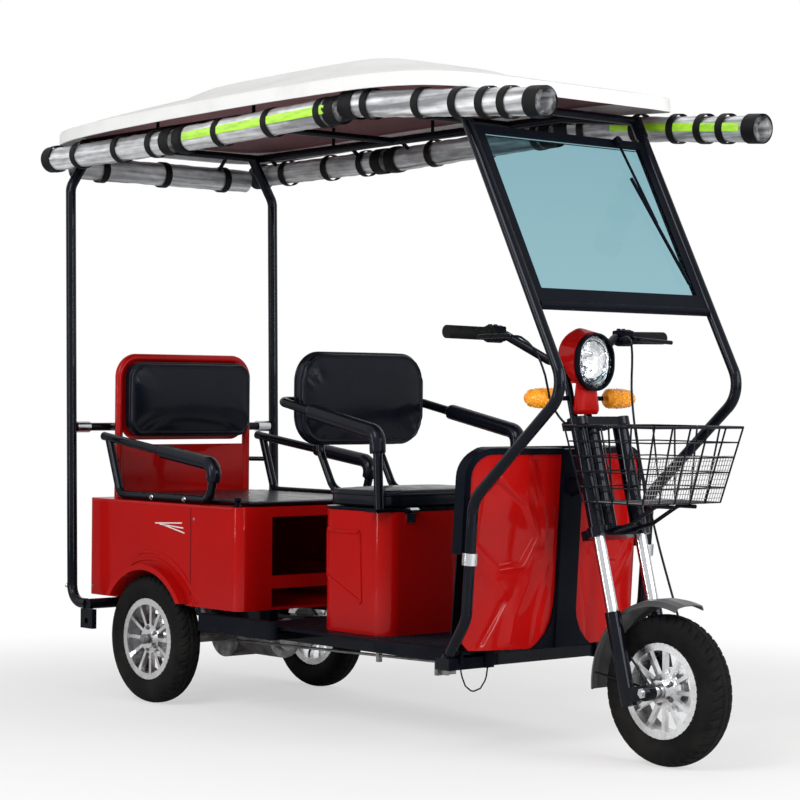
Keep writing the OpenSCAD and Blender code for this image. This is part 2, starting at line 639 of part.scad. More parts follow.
module front_mudguard() color("dimgray") in_fork() {
    both_sides() translate([leg_x, 50.5, -211]) along_y() cylinder(r = 6, h = leg_y - slider_d / 2 - 50.8);
    translate([axle_fx, 0, axle_fz]) rotate([90, 0, 0]) rotate([0, 0, 72 - rake]) rotate_extrude(angle = 112)
        polygon([[206, -52], [209, -52], [219, -44], [223, -20], [223, 20], [219, 44], [209, 52], [206, 52],
            [206, 49], [216, 41], [220, 19], [220, -19], [216, -41], [206, -49]]);
}

// Basket corners: low then high, each with its rear and front reach and half width
basket_low = [1550, 1748, 140, 640];
basket_high = [1504, 1802, 160, 825];
function basket_at(t) = basket_low + (basket_high - basket_low) * t;
module basket() color("black") front_placed() {
    for (t = [0 : 1 / 5 : 1]) let (b = basket_at(t), d = t > 0.9 ? 7 : 3.6) {
        for (s = [-1, 1]) rod([b[0], s * b[2], b[3]], [b[1], s * b[2], b[3]], d, 8);
        for (x = [b[0], b[1]]) rod([x, -b[2], b[3]], [x, b[2], b[3]], d, 8);
    }
    for (k = [0 : 4], s = [-1, 1]) let (x0 = basket_low[0] + (basket_low[1] - basket_low[0]) * k / 4,
        x1 = basket_high[0] + (basket_high[1] - basket_high[0]) * k / 4)
        rod([x0, s * basket_low[2], basket_low[3]], [x1, s * basket_high[2], basket_high[3]], 5, 8);
    for (k = [1 : 4]) let (y0 = basket_low[2] * (k / 2.5 - 1), y1 = basket_high[2] * (k / 2.5 - 1)) {
        for (e = [0, 1]) rod([basket_low[e], y0, basket_low[3]], [basket_high[e], y1, basket_high[3]], 5, 8);
        rod([basket_low[0], y0, basket_low[3]], [basket_low[1], y0, basket_low[3]], 5, 8);
    }
}

module basket_stay() color("black") front_placed() {
    both_sides() bent_tube([[1555.7, 40, 567.6], [1613.6, 40, 583.1], [1700, 40, 632.6], [1756, 40, 632.6]], 30, 10);
}

module front_wheel_place() { placed() translate([wheelbase, 0, axle_z]) rotate([90, 0, 0]) children(); }
module rear_wheel_place() { placed() translate([0, -wheel_y, axle_z]) rotate([90, 0, 0]) children(); }

module front_tyre() color("black") front_wheel_place() tyre();
module front_rim() color("silver") front_wheel_place() rim(7.55, 40, 40, 55);
module rear_tyre_right() color("black") rear_wheel_place() tyre();
module rear_rim_right() color("silver") rear_wheel_place() rim(10.05, 45, 29, 60);
module rear_tyre_left() color("black") mirror([0, 1, 0]) rear_wheel_place() tyre();
module rear_rim_left() color("silver") mirror([0, 1, 0]) rear_wheel_place() rim(10.05, 45, 29, 60);

chassis_frame();
tie_down_plates();
head_post();
rear_axle();
drive_motor();
leaf_springs();
floor_pan();
side_steps();
brake_linkage();
rear_body();
tail_lamps();
driver_base();
battery_pack();
leg_shield_wings();
leg_shield_spine();
leg_shield_inner();
rear_posts();
front_pillars();
post_clamps();
roof_frame();
roof_shell();
roof_lining();
windshield_frame();
windshield_glass();
wiper();
curtain_rolls_right();
curtain_rolls_left();
curtain_roll_rear();
rear_seat_frame();
rear_seat_back();
rear_seat_pad();
rear_armrests();
rear_arm_pads();
seat_hinges();
driver_seat_pan();
driver_cushion();
driver_back();
driver_seat_frame();
driver_arm_pads();
steering_clamps();
fork_stanchions();
fork_sliders();
fork_covers();
front_axle();
handlebar();
grips();
brake_levers();
headlight_shell();
headlight_bezel();
headlight_lens();
indicators();
front_mudguard();
basket();
basket_stay();
front_tyre();
front_rim();
rear_tyre_right();
rear_rim_right();
rear_tyre_left();
rear_rim_left();
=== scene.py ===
import bpy
import bmesh
import math
import numpy as np
from mathutils import Matrix, Vector
from mathutils.bvhtree import BVHTree


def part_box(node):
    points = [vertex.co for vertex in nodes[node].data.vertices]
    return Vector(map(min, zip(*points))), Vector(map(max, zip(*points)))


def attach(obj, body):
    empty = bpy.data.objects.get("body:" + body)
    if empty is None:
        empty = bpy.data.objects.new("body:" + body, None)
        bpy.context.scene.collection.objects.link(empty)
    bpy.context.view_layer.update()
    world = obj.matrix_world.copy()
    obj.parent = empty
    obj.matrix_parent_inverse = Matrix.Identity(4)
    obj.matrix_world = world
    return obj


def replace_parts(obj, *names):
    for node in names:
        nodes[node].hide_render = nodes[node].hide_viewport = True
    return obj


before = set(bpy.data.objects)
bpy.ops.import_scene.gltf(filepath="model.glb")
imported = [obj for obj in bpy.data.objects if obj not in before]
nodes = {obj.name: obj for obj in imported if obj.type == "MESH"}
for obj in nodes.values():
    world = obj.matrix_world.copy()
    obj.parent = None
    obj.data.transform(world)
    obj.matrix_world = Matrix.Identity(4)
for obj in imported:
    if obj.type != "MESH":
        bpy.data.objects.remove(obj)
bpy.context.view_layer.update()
scene = bpy.context.scene
scene.view_settings.view_transform = "Standard"
print("frame loaded:", len(nodes), "nodes")


rearAxle = 720  # millimetres from the rear axle to the middle of the part


def at(x, y, z):  # millimetres from the rear axle to metres in the part's frame
    return Vector(((x - rearAxle) / 1000, y / 1000, z / 1000))


# camera first, at the angle of the photograph
cameraLook = {"place": (4.807, -4.246, 0.907), "forward": (-0.7499, 0.6615, -0.00392), "roll": 0.52, "lens": 105.04}


def placeCamera(look):
    forward = Vector(look["forward"]).normalized()
    side = forward.cross(Vector((0, 0, 1))).normalized()
    rise = side.cross(forward)
    turn = math.radians(look["roll"])
    right = side * math.cos(turn) + rise * math.sin(turn)
    up = rise * math.cos(turn) - side * math.sin(turn)
    data = bpy.data.cameras.new("studioCamera")
    data.lens, data.sensor_width, data.sensor_fit = look["lens"], 36, "HORIZONTAL"
    camera = bpy.data.objects.new("studioCamera", data)
    grid = Matrix((right, up, -forward)).transposed().to_4x4()
    grid.translation = Vector(look["place"])
    camera.matrix_world = grid
    scene.collection.objects.link(camera)
    scene.camera = camera


placeCamera(cameraLook)


# shader values written as sums
class shadeValue:
    def __init__(self, finish, socket):
        self.finish, self.socket = finish, socket

    def maths(self, operation, first, second):
        return self.finish.node("ShaderNodeMath", {"operation": operation}, {0: first, 1: second})

    def __add__(self, other):
        return self.maths("ADD", self, other)

    def __radd__(self, other):
        return self.maths("ADD", other, self)

    def __sub__(self, other):
        return self.maths("SUBTRACT", self, other)

    def __rsub__(self, other):
        return self.maths("SUBTRACT", other, self)

    def __mul__(self, other):
        return self.maths("MULTIPLY", self, other)

    def __rmul__(self, other):
        return self.maths("MULTIPLY", other, self)


class shadeTree:  # every node of a finish or the world is made here
    def __init__(self, tree):
        self.tree = tree

    def feed(self, socket, value):
        if isinstance(value, shadeValue):
            self.tree.links.new(value.socket, socket)
        elif isinstance(value, (tuple, list)):
            socket.default_value = (*value, 1.0) if socket.type == "RGBA" else tuple(value)
        else:
            socket.default_value = value

    def node(self, kind, settings=None, inputs=None, output=0):
        made = self.tree.nodes.new(kind)
        for key, value in (settings or {}).items():
            if key == "stops":
                ramp = made.color_ramp
                ramp.elements.remove(ramp.elements[-1])
                ramp.elements[0].position, ramp.elements[0].color = value[0][0], (*value[0][1], 1)
                for place, colour in value[1:]:
                    ramp.elements.new(place).color = (*colour, 1)
            else:
                setattr(made, key, value)
        for key, value in (inputs or {}).items():
            self.feed(made.inputs[key], value)
        return shadeValue(self, made.outputs[output])


class surfaceFinish(shadeTree):
    def __init__(self, name, fixed):
        self.material = bpy.data.materials.new(name)
        self.material.use_nodes = True
        super().__init__(self.material.node_tree)
        self.shader = self.tree.nodes["Principled BSDF"]
        for key, value in fixed.items():
            self.feed(self.shader.inputs[key], value)

    def place(self, stretch=(1, 1, 1)):
        spot = self.node("ShaderNodeTexCoord", output="Object")
        if stretch == (1, 1, 1):
            return spot
        return self.node("ShaderNodeMapping", None, {"Vector": spot, "Scale": stretch})

    def axis(self, letter):
        return self.node("ShaderNodeSeparateXYZ", None, {0: self.place()}, letter)

    def noise(self, scale, detail=3.0, rough=0.55, stretch=(1, 1, 1)):
        return self.node("ShaderNodeTexNoise", None,
            {"Vector": self.place(stretch), "Scale": scale, "Detail": detail, "Roughness": rough})

    def cells(self, scale, feature="F1"):
        return self.node("ShaderNodeTexVoronoi", {"feature": feature}, {"Vector": self.place(), "Scale": scale},
            "Distance")

    def span(self, value, low, high, first=0.0, last=1.0):
        return self.node("ShaderNodeMapRange", {"interpolation_type": "SMOOTHSTEP"},
            {0: value, 1: low, 2: high, 3: first, 4: last})

    def mottle(self, scale, detail, first, last):
        return self.span(self.noise(scale, detail), 0.2, 0.8, first, last)

    def blend(self, share, first, second):
        return self.node("ShaderNodeMix", {"data_type": "RGBA"}, {0: share, 6: first, 7: second}, 2)

    def look(self, base=None, rough=None, metal=None, height=None, strength=0.2, depth=0.001):
        pairs = {"Base Color": base, "Roughness": rough, "Metallic": metal}
        if height is not None:
            pairs["Normal"] = self.node("ShaderNodeBump", None,
                {"Strength": strength, "Distance": depth, "Height": height})
        for key, value in pairs.items():
            if value is not None:
                self.feed(self.shader.inputs[key], value)
        return self.material


def road(finish, base, dust, top=0.55, most=0.35):  # a little road dust low on a piece
    low = finish.span(finish.axis("Z"), 0.02, top, most, 0.0)
    patch = finish.span(finish.noise(9, 5), 0.4, 0.72)
    return finish.blend(low * patch, base, dust)


# one finish for each slot of the record
def makeFinishes():
    made = {}

    f = surfaceFinish("glossBlackTube", {"Coat Weight": 0.2, "Coat Roughness": 0.035, "Specular IOR Level": 0.06,
        "Specular Tint": (0.5, 0.62, 1.0)})
    drift = f.noise(14, 4)
    base = f.blend(drift, (0.0015, 0.002, 0.0036), (0.0036, 0.0044, 0.0076))
    made["frame_black"] = f.look(road(f, base, (0.04, 0.036, 0.032), 0.5, 0.18), f.span(drift, 0.2, 0.8, 0.2, 0.34),
        height=f.noise(420, 2), strength=0.05, depth=0.0005)

    f = surfaceFinish("candyRedPaint", {"Coat Weight": 0.26, "Coat Roughness": 0.04, "Specular IOR Level": 0.04})
    flake = f.span(f.cells(1500), 0.1, 0.8)
    drift = f.span(f.noise(4, 3), 0.3, 0.7)
    base = f.blend(flake, (0.41, 0.0035, 0.0028), (0.38, 0.003, 0.0025))
    base = f.blend(drift * 0.35, base, (0.31, 0.002, 0.002))
    made["body_red"] = f.look(base, f.mottle(30, 3, 0.30, 0.40), height=f.noise(90, 2), strength=0.02, depth=0.0006)

    f = surfaceFinish("grainedBlackPlastic", {"Specular IOR Level": 0.06, "Specular Tint": (0.5, 0.62, 1.0)})
    grain = f.cells(620, "SMOOTH_F1")
    base = f.blend(f.noise(20, 4), (0.0015, 0.002, 0.0036), (0.0036, 0.0044, 0.0076))
    made["black_plastic"] = f.look(road(f, base, (0.045, 0.04, 0.036), 0.5, 0.2), f.mottle(35, 3, 0.34, 0.52),
        height=grain, strength=0.18, depth=0.0005)

    f = surfaceFinish("greyedSteel", {})
    grime = f.span(f.noise(16, 6, 0.65), 0.35, 0.7)
    base = f.blend(grime, (0.30, 0.30, 0.31), (0.10, 0.095, 0.09))
    made["steel_grey"] = f.look(base, f.span(grime, 0, 1, 0.36, 0.62), metal=0.75, height=f.noise(260, 4),
        strength=0.12, depth=0.0006)

    f = surfaceFinish("brightPlating", {"Metallic": 1.0})
    smear = f.noise(40, 5, 0.6)
    made["bright_metal"] = f.look(f.blend(smear, (0.62, 0.63, 0.65), (0.42, 0.43, 0.45)),
        f.span(smear, 0.3, 0.75, 0.09, 0.24), height=f.noise(300, 3), strength=0.03, depth=0.0004)

    f = surfaceFinish("castWheelAlloy", {"Metallic": 1.0})
    cloud = f.noise(26, 5, 0.6)
    base = f.blend(f.span(cloud, 0.35, 0.75), (0.80, 0.81, 0.82), (0.52, 0.52, 0.53))
    made["cast_alloy"] = f.look(road(f, base, (0.16, 0.14, 0.12), 0.3, 0.4), f.span(cloud, 0.25, 0.8, 0.2, 0.4),
        height=f.noise(700, 3), strength=0.1, depth=0.0004)

    f = surfaceFinish("tyreRubber", {"Specular IOR Level": 0.06})
    cloud = f.noise(30, 6, 0.65)
    base = f.blend(f.span(cloud, 0.35, 0.75), (0.004, 0.004, 0.0045), (0.010, 0.0098, 0.0095))
    made["tyre"] = f.look(road(f, base, (0.05, 0.045, 0.04), 0.4, 0.2), f.span(cloud, 0.2, 0.8, 0.5, 0.74),
        height=f.noise(520, 4), strength=0.22, depth=0.0007)

    f = surfaceFinish("whiteRoofShell", {"Specular IOR Level": 0.1})
    cloud = f.noise(6, 5, 0.6)
    base = f.blend(f.span(cloud, 0.4, 0.75), (0.80, 0.798, 0.79), (0.73, 0.728, 0.72))
    made["roof_white"] = f.look(base, f.mottle(30, 3, 0.46, 0.6), height=f.noise(130, 3), strength=0.05,
        depth=0.0008)

    f = surfaceFinish("maroonLining", {"Sheen Weight": 0.25, "Sheen Roughness": 0.5})
    weft = f.node("ShaderNodeTexWave", {"bands_direction": "X"},
        {"Vector": f.place(), "Scale": 210.0, "Distortion": 0.4, "Detail": 1.0}, "Fac")
    warp = f.node("ShaderNodeTexWave", {"bands_direction": "Y"},
        {"Vector": f.place(), "Scale": 210.0, "Distortion": 0.4, "Detail": 1.0}, "Fac")
    cloth = weft * 0.5 + warp * 0.5
    made["lining_maroon"] = f.look(f.blend(f.noise(7, 4), (0.10, 0.008, 0.014), (0.17, 0.016, 0.024)), 0.78,
        height=cloth, strength=0.35, depth=0.0008)

    f = surfaceFinish("tintedScreen", {"Transmission Weight": 1.0, "IOR": 1.12})
    # the glass colour is a little lighter low down and darker towards the top
    darkerUpward = f.span(f.axis("Z"), 1.15, 1.55)
    base = f.blend(darkerUpward, (0.29, 0.50, 0.56), (0.25, 0.45, 0.51))
    made["screen_glass"] = f.look(base, f.span(f.noise(12, 4), 0.4, 0.8, 0.0, 0.04))

    for label, stretch, finer in (("curtain_film", (0.25, 7, 7), (1.2, 3, 3)),
            ("back_film", (7, 0.25, 7), (3, 1.2, 3))):
        f = surfaceFinish(label + "Clear", {"Coat Weight": 0.6, "Coat Roughness": 0.03, "Specular IOR Level": 0.4})
        pullWrinkleAndGlint = f.noise(8, 3, 0.5, stretch)
        creaseWrinkleAndGlint = f.noise(20, 3, 0.5, finer)
        # the base colour runs from dark grey to near white along these streaks: painted reflections and highlights
        # on the clear film; the same streaks also give the wrinkle bump
        paintedFilmReflections = f.span(pullWrinkleAndGlint * 0.85 + creaseWrinkleAndGlint * 0.2, 0.36, 0.70)
        base = f.node("ShaderNodeValToRGB",
            {"stops": [(0.0, (0.20, 0.205, 0.215)), (0.4, (0.42, 0.43, 0.445)), (0.75, (0.62, 0.63, 0.645)),
            (1.0, (0.88, 0.89, 0.90))]}, {0: paintedFilmReflections})
        made[label] = f.look(base, f.span(creaseWrinkleAndGlint, 0.3, 0.7, 0.08, 0.2), height=pullWrinkleAndGlint + creaseWrinkleAndGlint * 0.4, strength=0.4,
            depth=0.005)

    f = surfaceFinish("blackSeatVinyl", {"Coat Weight": 0.22, "Coat Roughness": 0.13, "Specular IOR Level": 0.06,
        "Specular Tint": (0.5, 0.62, 1.0)})
    grain = f.cells(420, "SMOOTH_F1") + f.noise(900, 2) * 0.3
    base = f.blend(f.noise(10, 4), (0.0022, 0.0028, 0.0052), (0.005, 0.006, 0.0105))
    made["seat_vinyl"] = f.look(base, f.span(f.noise(22, 4), 0.25, 0.75, 0.26, 0.42), height=grain, strength=0.3,
        depth=0.0005)

    f = surfaceFinish("amberLens", {"Coat Weight": 0.35, "Coat Roughness": 0.04, "Specular IOR Level": 0.2,
        "Subsurface Weight": 0.15})
    prism = f.cells(190)
    made["lamp_amber"] = f.look(f.blend(f.span(prism, 0.1, 0.6), (1.0, 0.46, 0.03), (0.86, 0.28, 0.008)), 0.14,
        height=prism, strength=0.4, depth=0.001)

    f = surfaceFinish("redTailLens", {"Coat Weight": 1.0, "Coat Roughness": 0.04})
    prism = f.cells(160)
    made["lamp_red"] = f.look(f.blend(f.span(prism, 0.1, 0.6), (0.60, 0.012, 0.010), (0.28, 0.003, 0.004)), 0.14,
        height=prism, strength=0.5, depth=0.001)

    f = surfaceFinish("clearLampLens", {"Transmission Weight": 1.0, "IOR": 1.3, "Base Color": (0.96, 0.97, 0.98)})
    flute = f.node("ShaderNodeTexWave", {"bands_direction": "Y"}, {"Vector": f.place(), "Scale": 26.0}, "Fac")
    made["lamp_clear"] = f.look(None, f.span(f.noise(30, 3), 0.3, 0.8, 0.01, 0.06), height=flute, strength=0.06,
        depth=0.0008)

    f = surfaceFinish("ribbedGripRubber", {"Specular IOR Level": 0.1})
    ridge = f.node("ShaderNodeTexWave", {"bands_direction": "Y", "wave_profile": "SAW"},
        {"Vector": f.place(), "Scale": 52.0, "Distortion": 0.2}, "Fac")
    base = f.blend(ridge, (0.003, 0.003, 0.003), (0.011, 0.011, 0.011))
    made["grip_rubber"] = f.look(base, f.mottle(50, 3, 0.55, 0.72), height=ridge, strength=0.6, depth=0.0012)

    f = surfaceFinish("greyGuardPlastic", {"Specular IOR Level": 0.2})
    base = f.blend(f.noise(18, 4), (0.050, 0.052, 0.055), (0.085, 0.087, 0.09))
    made["guard_grey"] = f.look(road(f, base, (0.11, 0.10, 0.09)), f.mottle(40, 3, 0.26, 0.42),
        height=f.noise(480, 3), strength=0.12, depth=0.0005)

    f = surfaceFinish("blackStrapWebbing", {"Specular IOR Level": 0.1})
    rib = f.node("ShaderNodeTexWave", {"bands_direction": "X"}, {"Vector": f.place(), "Scale": 240.0}, "Fac")
    made["webbing"] = f.look(f.blend(rib, (0.003, 0.003, 0.0035), (0.010, 0.010, 0.011)),
        f.mottle(30, 3, 0.42, 0.6), height=rib, strength=0.4, depth=0.0006)

    f = surfaceFinish("safetyStrip", {"Coat Weight": 0.6, "Coat Roughness": 0.1})
    bead = f.cells(900)
    made["safety"] = f.look(f.blend(f.span(f.noise(18, 4, 0.6, (0.8, 4, 4)), 0.35, 0.7), (0.50, 0.92, 0.05),
        (0.30, 0.62, 0.02)), 0.3, height=bead, strength=0.15, depth=0.0005)

    f = surfaceFinish("lampReflector", {"Metallic": 1.0})
    facet = f.cells(70)
    made["reflector"] = f.look(f.blend(facet, (0.93, 0.94, 0.95), (0.74, 0.76, 0.78)), 0.07, height=facet,
        strength=0.35, depth=0.002)

    f = surfaceFinish("paleStripe", {"Coat Weight": 0.8, "Coat Roughness": 0.05})
    made["stripe"] = f.look(f.blend(f.noise(40, 3), (0.72, 0.72, 0.71), (0.60, 0.60, 0.59)),
        f.mottle(60, 2, 0.22, 0.34))
    return made


finishes = makeFinishes()
for node in nodes.values():
    for slot in node.material_slots:
        slot.material = finishes[slot.material.name.split(".")[0]]
nodes["headlight_bezel"].material_slots[0].material = finishes["black_plastic"]  # dark gasket round the lens
print("finishes made:", len(finishes))


def dress(name, mesh, finish, body, smooth=50):  # a mesh, or its places and faces
    if isinstance(mesh, tuple):
        mesh = plainMesh(name, *mesh)
    piece = bpy.data.objects.new(name, mesh)
    scene.collection.objects.link(piece)
    mesh.materials.clear()
    mesh.materials.append(finishes[finish])
    mesh.shade_smooth()
    if smooth:
        mesh.set_sharp_from_angle(angle=math.radians(smooth))
    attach(piece, body)
    return piece


def plainMesh(name, verts, faces):
    mesh = bpy.data.meshes.new(name)
    mesh.from_pydata([tuple(v) for v in verts], [], faces)
    shape = bmesh.new()
    shape.from_mesh(mesh)
    bmesh.ops.remove_doubles(shape, verts=shape.verts, dist=1e-6)
    bmesh.ops.recalc_face_normals(shape, faces=shape.faces)
    shape.to_mesh(mesh)
    shape.free()
    return mesh


def smoothRoute(points, step):  # a rounded line through the points, in even steps
    points = [Vector(p) for p in points]
    ends = [2 * points[0] - points[1]] + points + [2 * points[-1] - points[-2]]
    line = []
    for a, b, c, d in zip(ends, ends[1:], ends[2:], ends[3:]):
        for k in range(24):
            t = k / 24
            line.append(0.5 * (2 * b + (c - a) * t + (2 * a - 5 * b + 4 * c - d) * t * t
                + (3 * b - a - 3 * c + d) * t ** 3))
    line.append(points[-1])
    return evenSteps(line, step)


def evenSteps(line, step):
    reach = [0.0]
    for a, b in zip(line, line[1:]):
        reach.append(reach[-1] + (b - a).length)
    count = max(2, round(reach[-1] / step))
    grid = np.array([tuple(p) for p in line])
    marks = np.linspace(0, reach[-1], count + 1)
    return [Vector([float(np.interp(m, reach, grid[:, k])) for k in range(3)]) for m in marks]


def tubeParts(line, radius, sides=10, closed=False):
    verts, faces = [], []
    count = len(line)
    side = None
    for k, spot in enumerate(line):
        before = line[k - 1] if closed or k else spot
        after = line[(k + 1) % count] if closed or k < count - 1 else spot
        run = (after - before).normalized()
        if side is None:
            side = run.orthogonal().normalized()
        side = (side - run * side.dot(run)).normalized()
        rise = run.cross(side)
        for j in range(sides):
            a = 2 * math.pi * j / sides
            verts.append(spot + (side * math.cos(a) + rise * math.sin(a)) * radius)
    rings = count if closed else count - 1
    for k in range(rings):
        a, b = k * sides, ((k + 1) % count) * sides
        faces += [(a + j, a + (j + 1) % sides, b + (j + 1) % sides, b + j) for j in range(sides)]
    if not closed:
        faces += [tuple(range(sides)), tuple(range((count - 1) * sides, count * sides))]
    return verts, faces


def joinParts(parts):
    verts, faces = [], []
    for v, f in parts:
        start = len(verts)
        verts += list(v)
        faces += [tuple(start + j for j in face) for face in f]
    return verts, faces


def roundedLoop(centre, across, up, halfW, halfH, corner, steps=10):
    loop = []
    for cx, cy, start in ((1, 1, 0), (-1, 1, 90), (-1, -1, 180), (1, -1, 270)):
        for k in range(steps + 1):
            a = math.radians(start + 90 * k / steps)
            u = cx * (halfW - corner) + corner * math.cos(a)
            v = cy * (halfH - corner) + corner * math.sin(a)
            loop.append(centre + across * u + up * v)
    return loop


trees = {}


def meshParts(mesh):
    return [v.co.copy() for v in mesh.vertices], [tuple(p.vertices) for p in mesh.polygons]


def skinOf(name):  # a search tree over a node's own faces
    if name not in trees:
        trees[name] = BVHTree.FromPolygons(*meshParts(nodes[name].data))
    return trees[name]


def landOn(name, start, heading):
    heading = Vector(heading).normalized()
    spot, normal, _, _ = skinOf(name).ray_cast(Vector(start), heading)
    if spot is None:
        print("no landing on", name, "from", tuple(round(c, 3) for c in start))
        return None
    return spot, (normal if normal.dot(heading) < 0 else -normal)


# Geometry Nodes: one small shape set at every point, turned to its facing
def repeatTree():
    tree = bpy.data.node_groups.new("repeatShape", "GeometryNodeTree")
    for name, way, kind in (("Geometry", "INPUT", "Geometry"), ("Shape", "INPUT", "Object"),
            ("Size", "INPUT", "Float"), ("Finish", "INPUT", "Material"), ("Geometry", "OUTPUT", "Geometry")):
        tree.interface.new_socket(name, in_out=way, socket_type="NodeSocket" + kind)
    make, link = tree.nodes.new, tree.links.new
    start, end = make("NodeGroupInput"), make("NodeGroupOutput")
    shape = make("GeometryNodeObjectInfo")
    facing, along = make("GeometryNodeInputNamedAttribute"), make("GeometryNodeInputNamedAttribute")
    for reader, name in ((facing, "facing"), (along, "along")):
        reader.data_type = "FLOAT_VECTOR"
        reader.inputs["Name"].default_value = name
    turn, swing = make("FunctionNodeAlignRotationToVector"), make("FunctionNodeAlignRotationToVector")
    turn.axis, swing.axis, swing.pivot_axis = "Z", "X", "Z"
    spread, solid = make("GeometryNodeInstanceOnPoints"), make("GeometryNodeRealizeInstances")
    paint = make("GeometryNodeSetMaterial")
    for source, output, target, entry in (
            (start, "Shape", shape, "Object"), (facing, "Attribute", turn, "Vector"),
            (turn, "Rotation", swing, "Rotation"), (along, "Attribute", swing, "Vector"),
            (start, "Geometry", spread, "Points"), (shape, "Geometry", spread, "Instance"),
            (swing, "Rotation", spread, "Rotation"), (start, "Size", spread, "Scale"),
            (spread, "Instances", solid, "Geometry"), (solid, "Geometry", paint, "Geometry"),
            (start, "Finish", paint, "Material"), (paint, "Geometry", end, "Geometry")):
        link(source.outputs[output], target.inputs[entry])
    return tree


repeater = repeatTree()


def repeatShape(name, shapeMesh, spots, finish, body, size=1.0, smooth=40):
    holderMesh = bpy.data.meshes.new(name + "Points")
    holderMesh.from_pydata([tuple(s[0]) for s in spots], [], [])
    for label, index in (("facing", 1), ("along", 2)):
        layer = holderMesh.attributes.new(label, "FLOAT_VECTOR", "POINT")
        layer.data.foreach_set("vector", [c for s in spots for c in s[index]])
    holder = bpy.data.objects.new(name + "Points", holderMesh)
    sample = bpy.data.objects.new(name + "Shape", shapeMesh)
    for item in (holder, sample):
        scene.collection.objects.link(item)
    run = holder.modifiers.new("repeat", "NODES")
    run.node_group = repeater
    given = {"Shape": sample, "Size": size, "Finish": finishes[finish]}
    for item in repeater.interface.items_tree:
        if item.item_type == "SOCKET" and item.in_out == "INPUT" and item.name in given:
            run[item.identifier] = given[item.name]
    graph = bpy.context.evaluated_depsgraph_get()
    mesh = bpy.data.meshes.new_from_object(holder.evaluated_get(graph), depsgraph=graph)
    mesh.name = name
    for item in (holder, sample):
        bpy.data.objects.remove(item)
    return dress(name, mesh, finish, body, smooth)


def spotFacing(spot, facing, along=(1, 0, 0)):
    facing, along = Vector(facing).normalized(), Vector(along)
    along = (along - facing * along.dot(facing))
    if along.length < 1e-4:
        along = facing.orthogonal()
    return Vector(spot), facing, along.normalized()


def turnedShape(name, outline, sides=12):  # outline of (radius, height), spun about Z
    verts, faces = [], []
    for r, z in outline:
        verts += [(r * math.cos(2 * math.pi * j / sides), r * math.sin(2 * math.pi * j / sides), z)
            for j in range(sides)]
    for k in range(len(outline) - 1):
        a, b = k * sides, (k + 1) * sides
        faces += [(a + j, a + (j + 1) % sides, b + (j + 1) % sides, b + j) for j in range(sides)]
    return plainMesh(name, verts, faces)


def hexBolt(name, wide, tall):
    washer = [(0.0001, 0), (wide * 1.35, 0), (wide * 1.35, tall * 0.2), (0.0001, tall * 0.2)]
    head = [(wide, tall * 0.2), (wide, tall * 0.85), (wide * 0.86, tall), (0.0001, tall)]
    shapes = turnedShape(name + "Washer", washer, 14), turnedShape(name + "Head", head, 6)
    return plainMesh(name, *joinParts([meshParts(shape) for shape in shapes]))


# tyres with a road pattern cut into the tread
tyreLook = {"radius": 0.185, "pitches": 46, "groove": 0.0042, "segments": 520, "profile": 58,
    "zigPlace": 0.0085, "zigSwing": 0.004, "zigWide": 0.0017, "lean": 28, "slantWide": 0.0022,
    "slantFrom": 0.0125, "slantTo": 0.0335, "soften": 0.002,
    "rings": [(0.127, 0.0012, 1.0), (0.158, 0.0010, 0.7)], "ringRise": 0.0007,
    "outline": [(-29, 118.5), (-33, 123), (-36.6, 133), (-38.6, 147), (-37.8, 160), (-34, 171), (-27, 179),
        (-14, 183.9), (0, 185), (14, 183.9), (27, 179), (34, 171), (37.8, 160), (38.6, 147), (36.6, 133),
        (33, 123), (29, 118.5)]}


def buildTyre(name, node, body, look):
    low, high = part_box(node)
    centre = (low + high) / 2
    line = smoothRoute([Vector((y / 1000, r / 1000, 0)) for y, r in look["outline"]], 0.0005)
    marks = np.linspace(0, len(line) - 1, look["profile"]).round().astype(int)
    y = np.array([line[k].x for k in marks])
    r = np.array([line[k].y for k in marks])
    turn = np.arange(look["segments"]) * 2 * math.pi / look["segments"]
    yy, aa = np.meshgrid(y, turn)
    rr = np.broadcast_to(r, yy.shape).copy()
    beat = aa * look["pitches"] / (2 * math.pi)
    zig = np.abs(beat % 1.0 - 0.5) * 2 - 0.5
    away = np.abs(yy)
    ridge = lambda gap, wide: np.clip(1.5 - gap / wide, 0, 1)
    cut = ridge(np.abs(away - (look["zigPlace"] + zig * look["zigSwing"])), look["zigWide"])
    slant = (beat + away * look["lean"] * np.sign(yy)) % 1.0
    arc = np.minimum(slant, 1 - slant) * 2 * math.pi * look["radius"] / look["pitches"]
    ease = lambda gap: np.clip(gap / look["soften"], 0, 1)
    reach = ease(away - look["slantFrom"]) * ease(look["slantTo"] - away)
    rr -= np.maximum(cut, ridge(arc, look["slantWide"]) * reach) * look["groove"]
    ring = sum(np.exp(-((rr - place) / wide) ** 2) * share for place, wide, share in look["rings"])
    wide = yy + np.sign(yy) * ring * look["ringRise"]
    verts = np.stack([centre.x + rr * np.sin(aa), centre.y + wide, centre.z + rr * np.cos(aa)], -1).reshape(-1, 3)
    n, m = look["segments"], look["profile"]
    faces = [(i * m + j, ((i + 1) % n) * m + j, ((i + 1) % n) * m + j + 1, i * m + j + 1) for i in range(n)
        for j in range(m - 1)]
    faces += [(i * m, ((i + 1) % n) * m, ((i + 1) % n) * m + m - 1, i * m + m - 1) for i in range(n)]
    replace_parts(dress(name, (verts.tolist(), faces), "tyre", body, smooth=60), node)


wheelSet = [("front", "front_tyre", "front_rim", "front_wheel")]
for side in ("right", "left"):
    wheelSet.append(("rear" + side.title(), "rear_tyre_" + side, "rear_rim_" + side, "rear_wheel_" + side))
for label, tyreNode, rimNode, body in wheelSet:
    buildTyre(label + "TreadTyre", tyreNode, body, tyreLook)
print("tyres cut")

# hub bolts on every rim
hubLook = {"bolts": 5, "circle": 0.033, "head": 0.0048, "tall": 0.006}


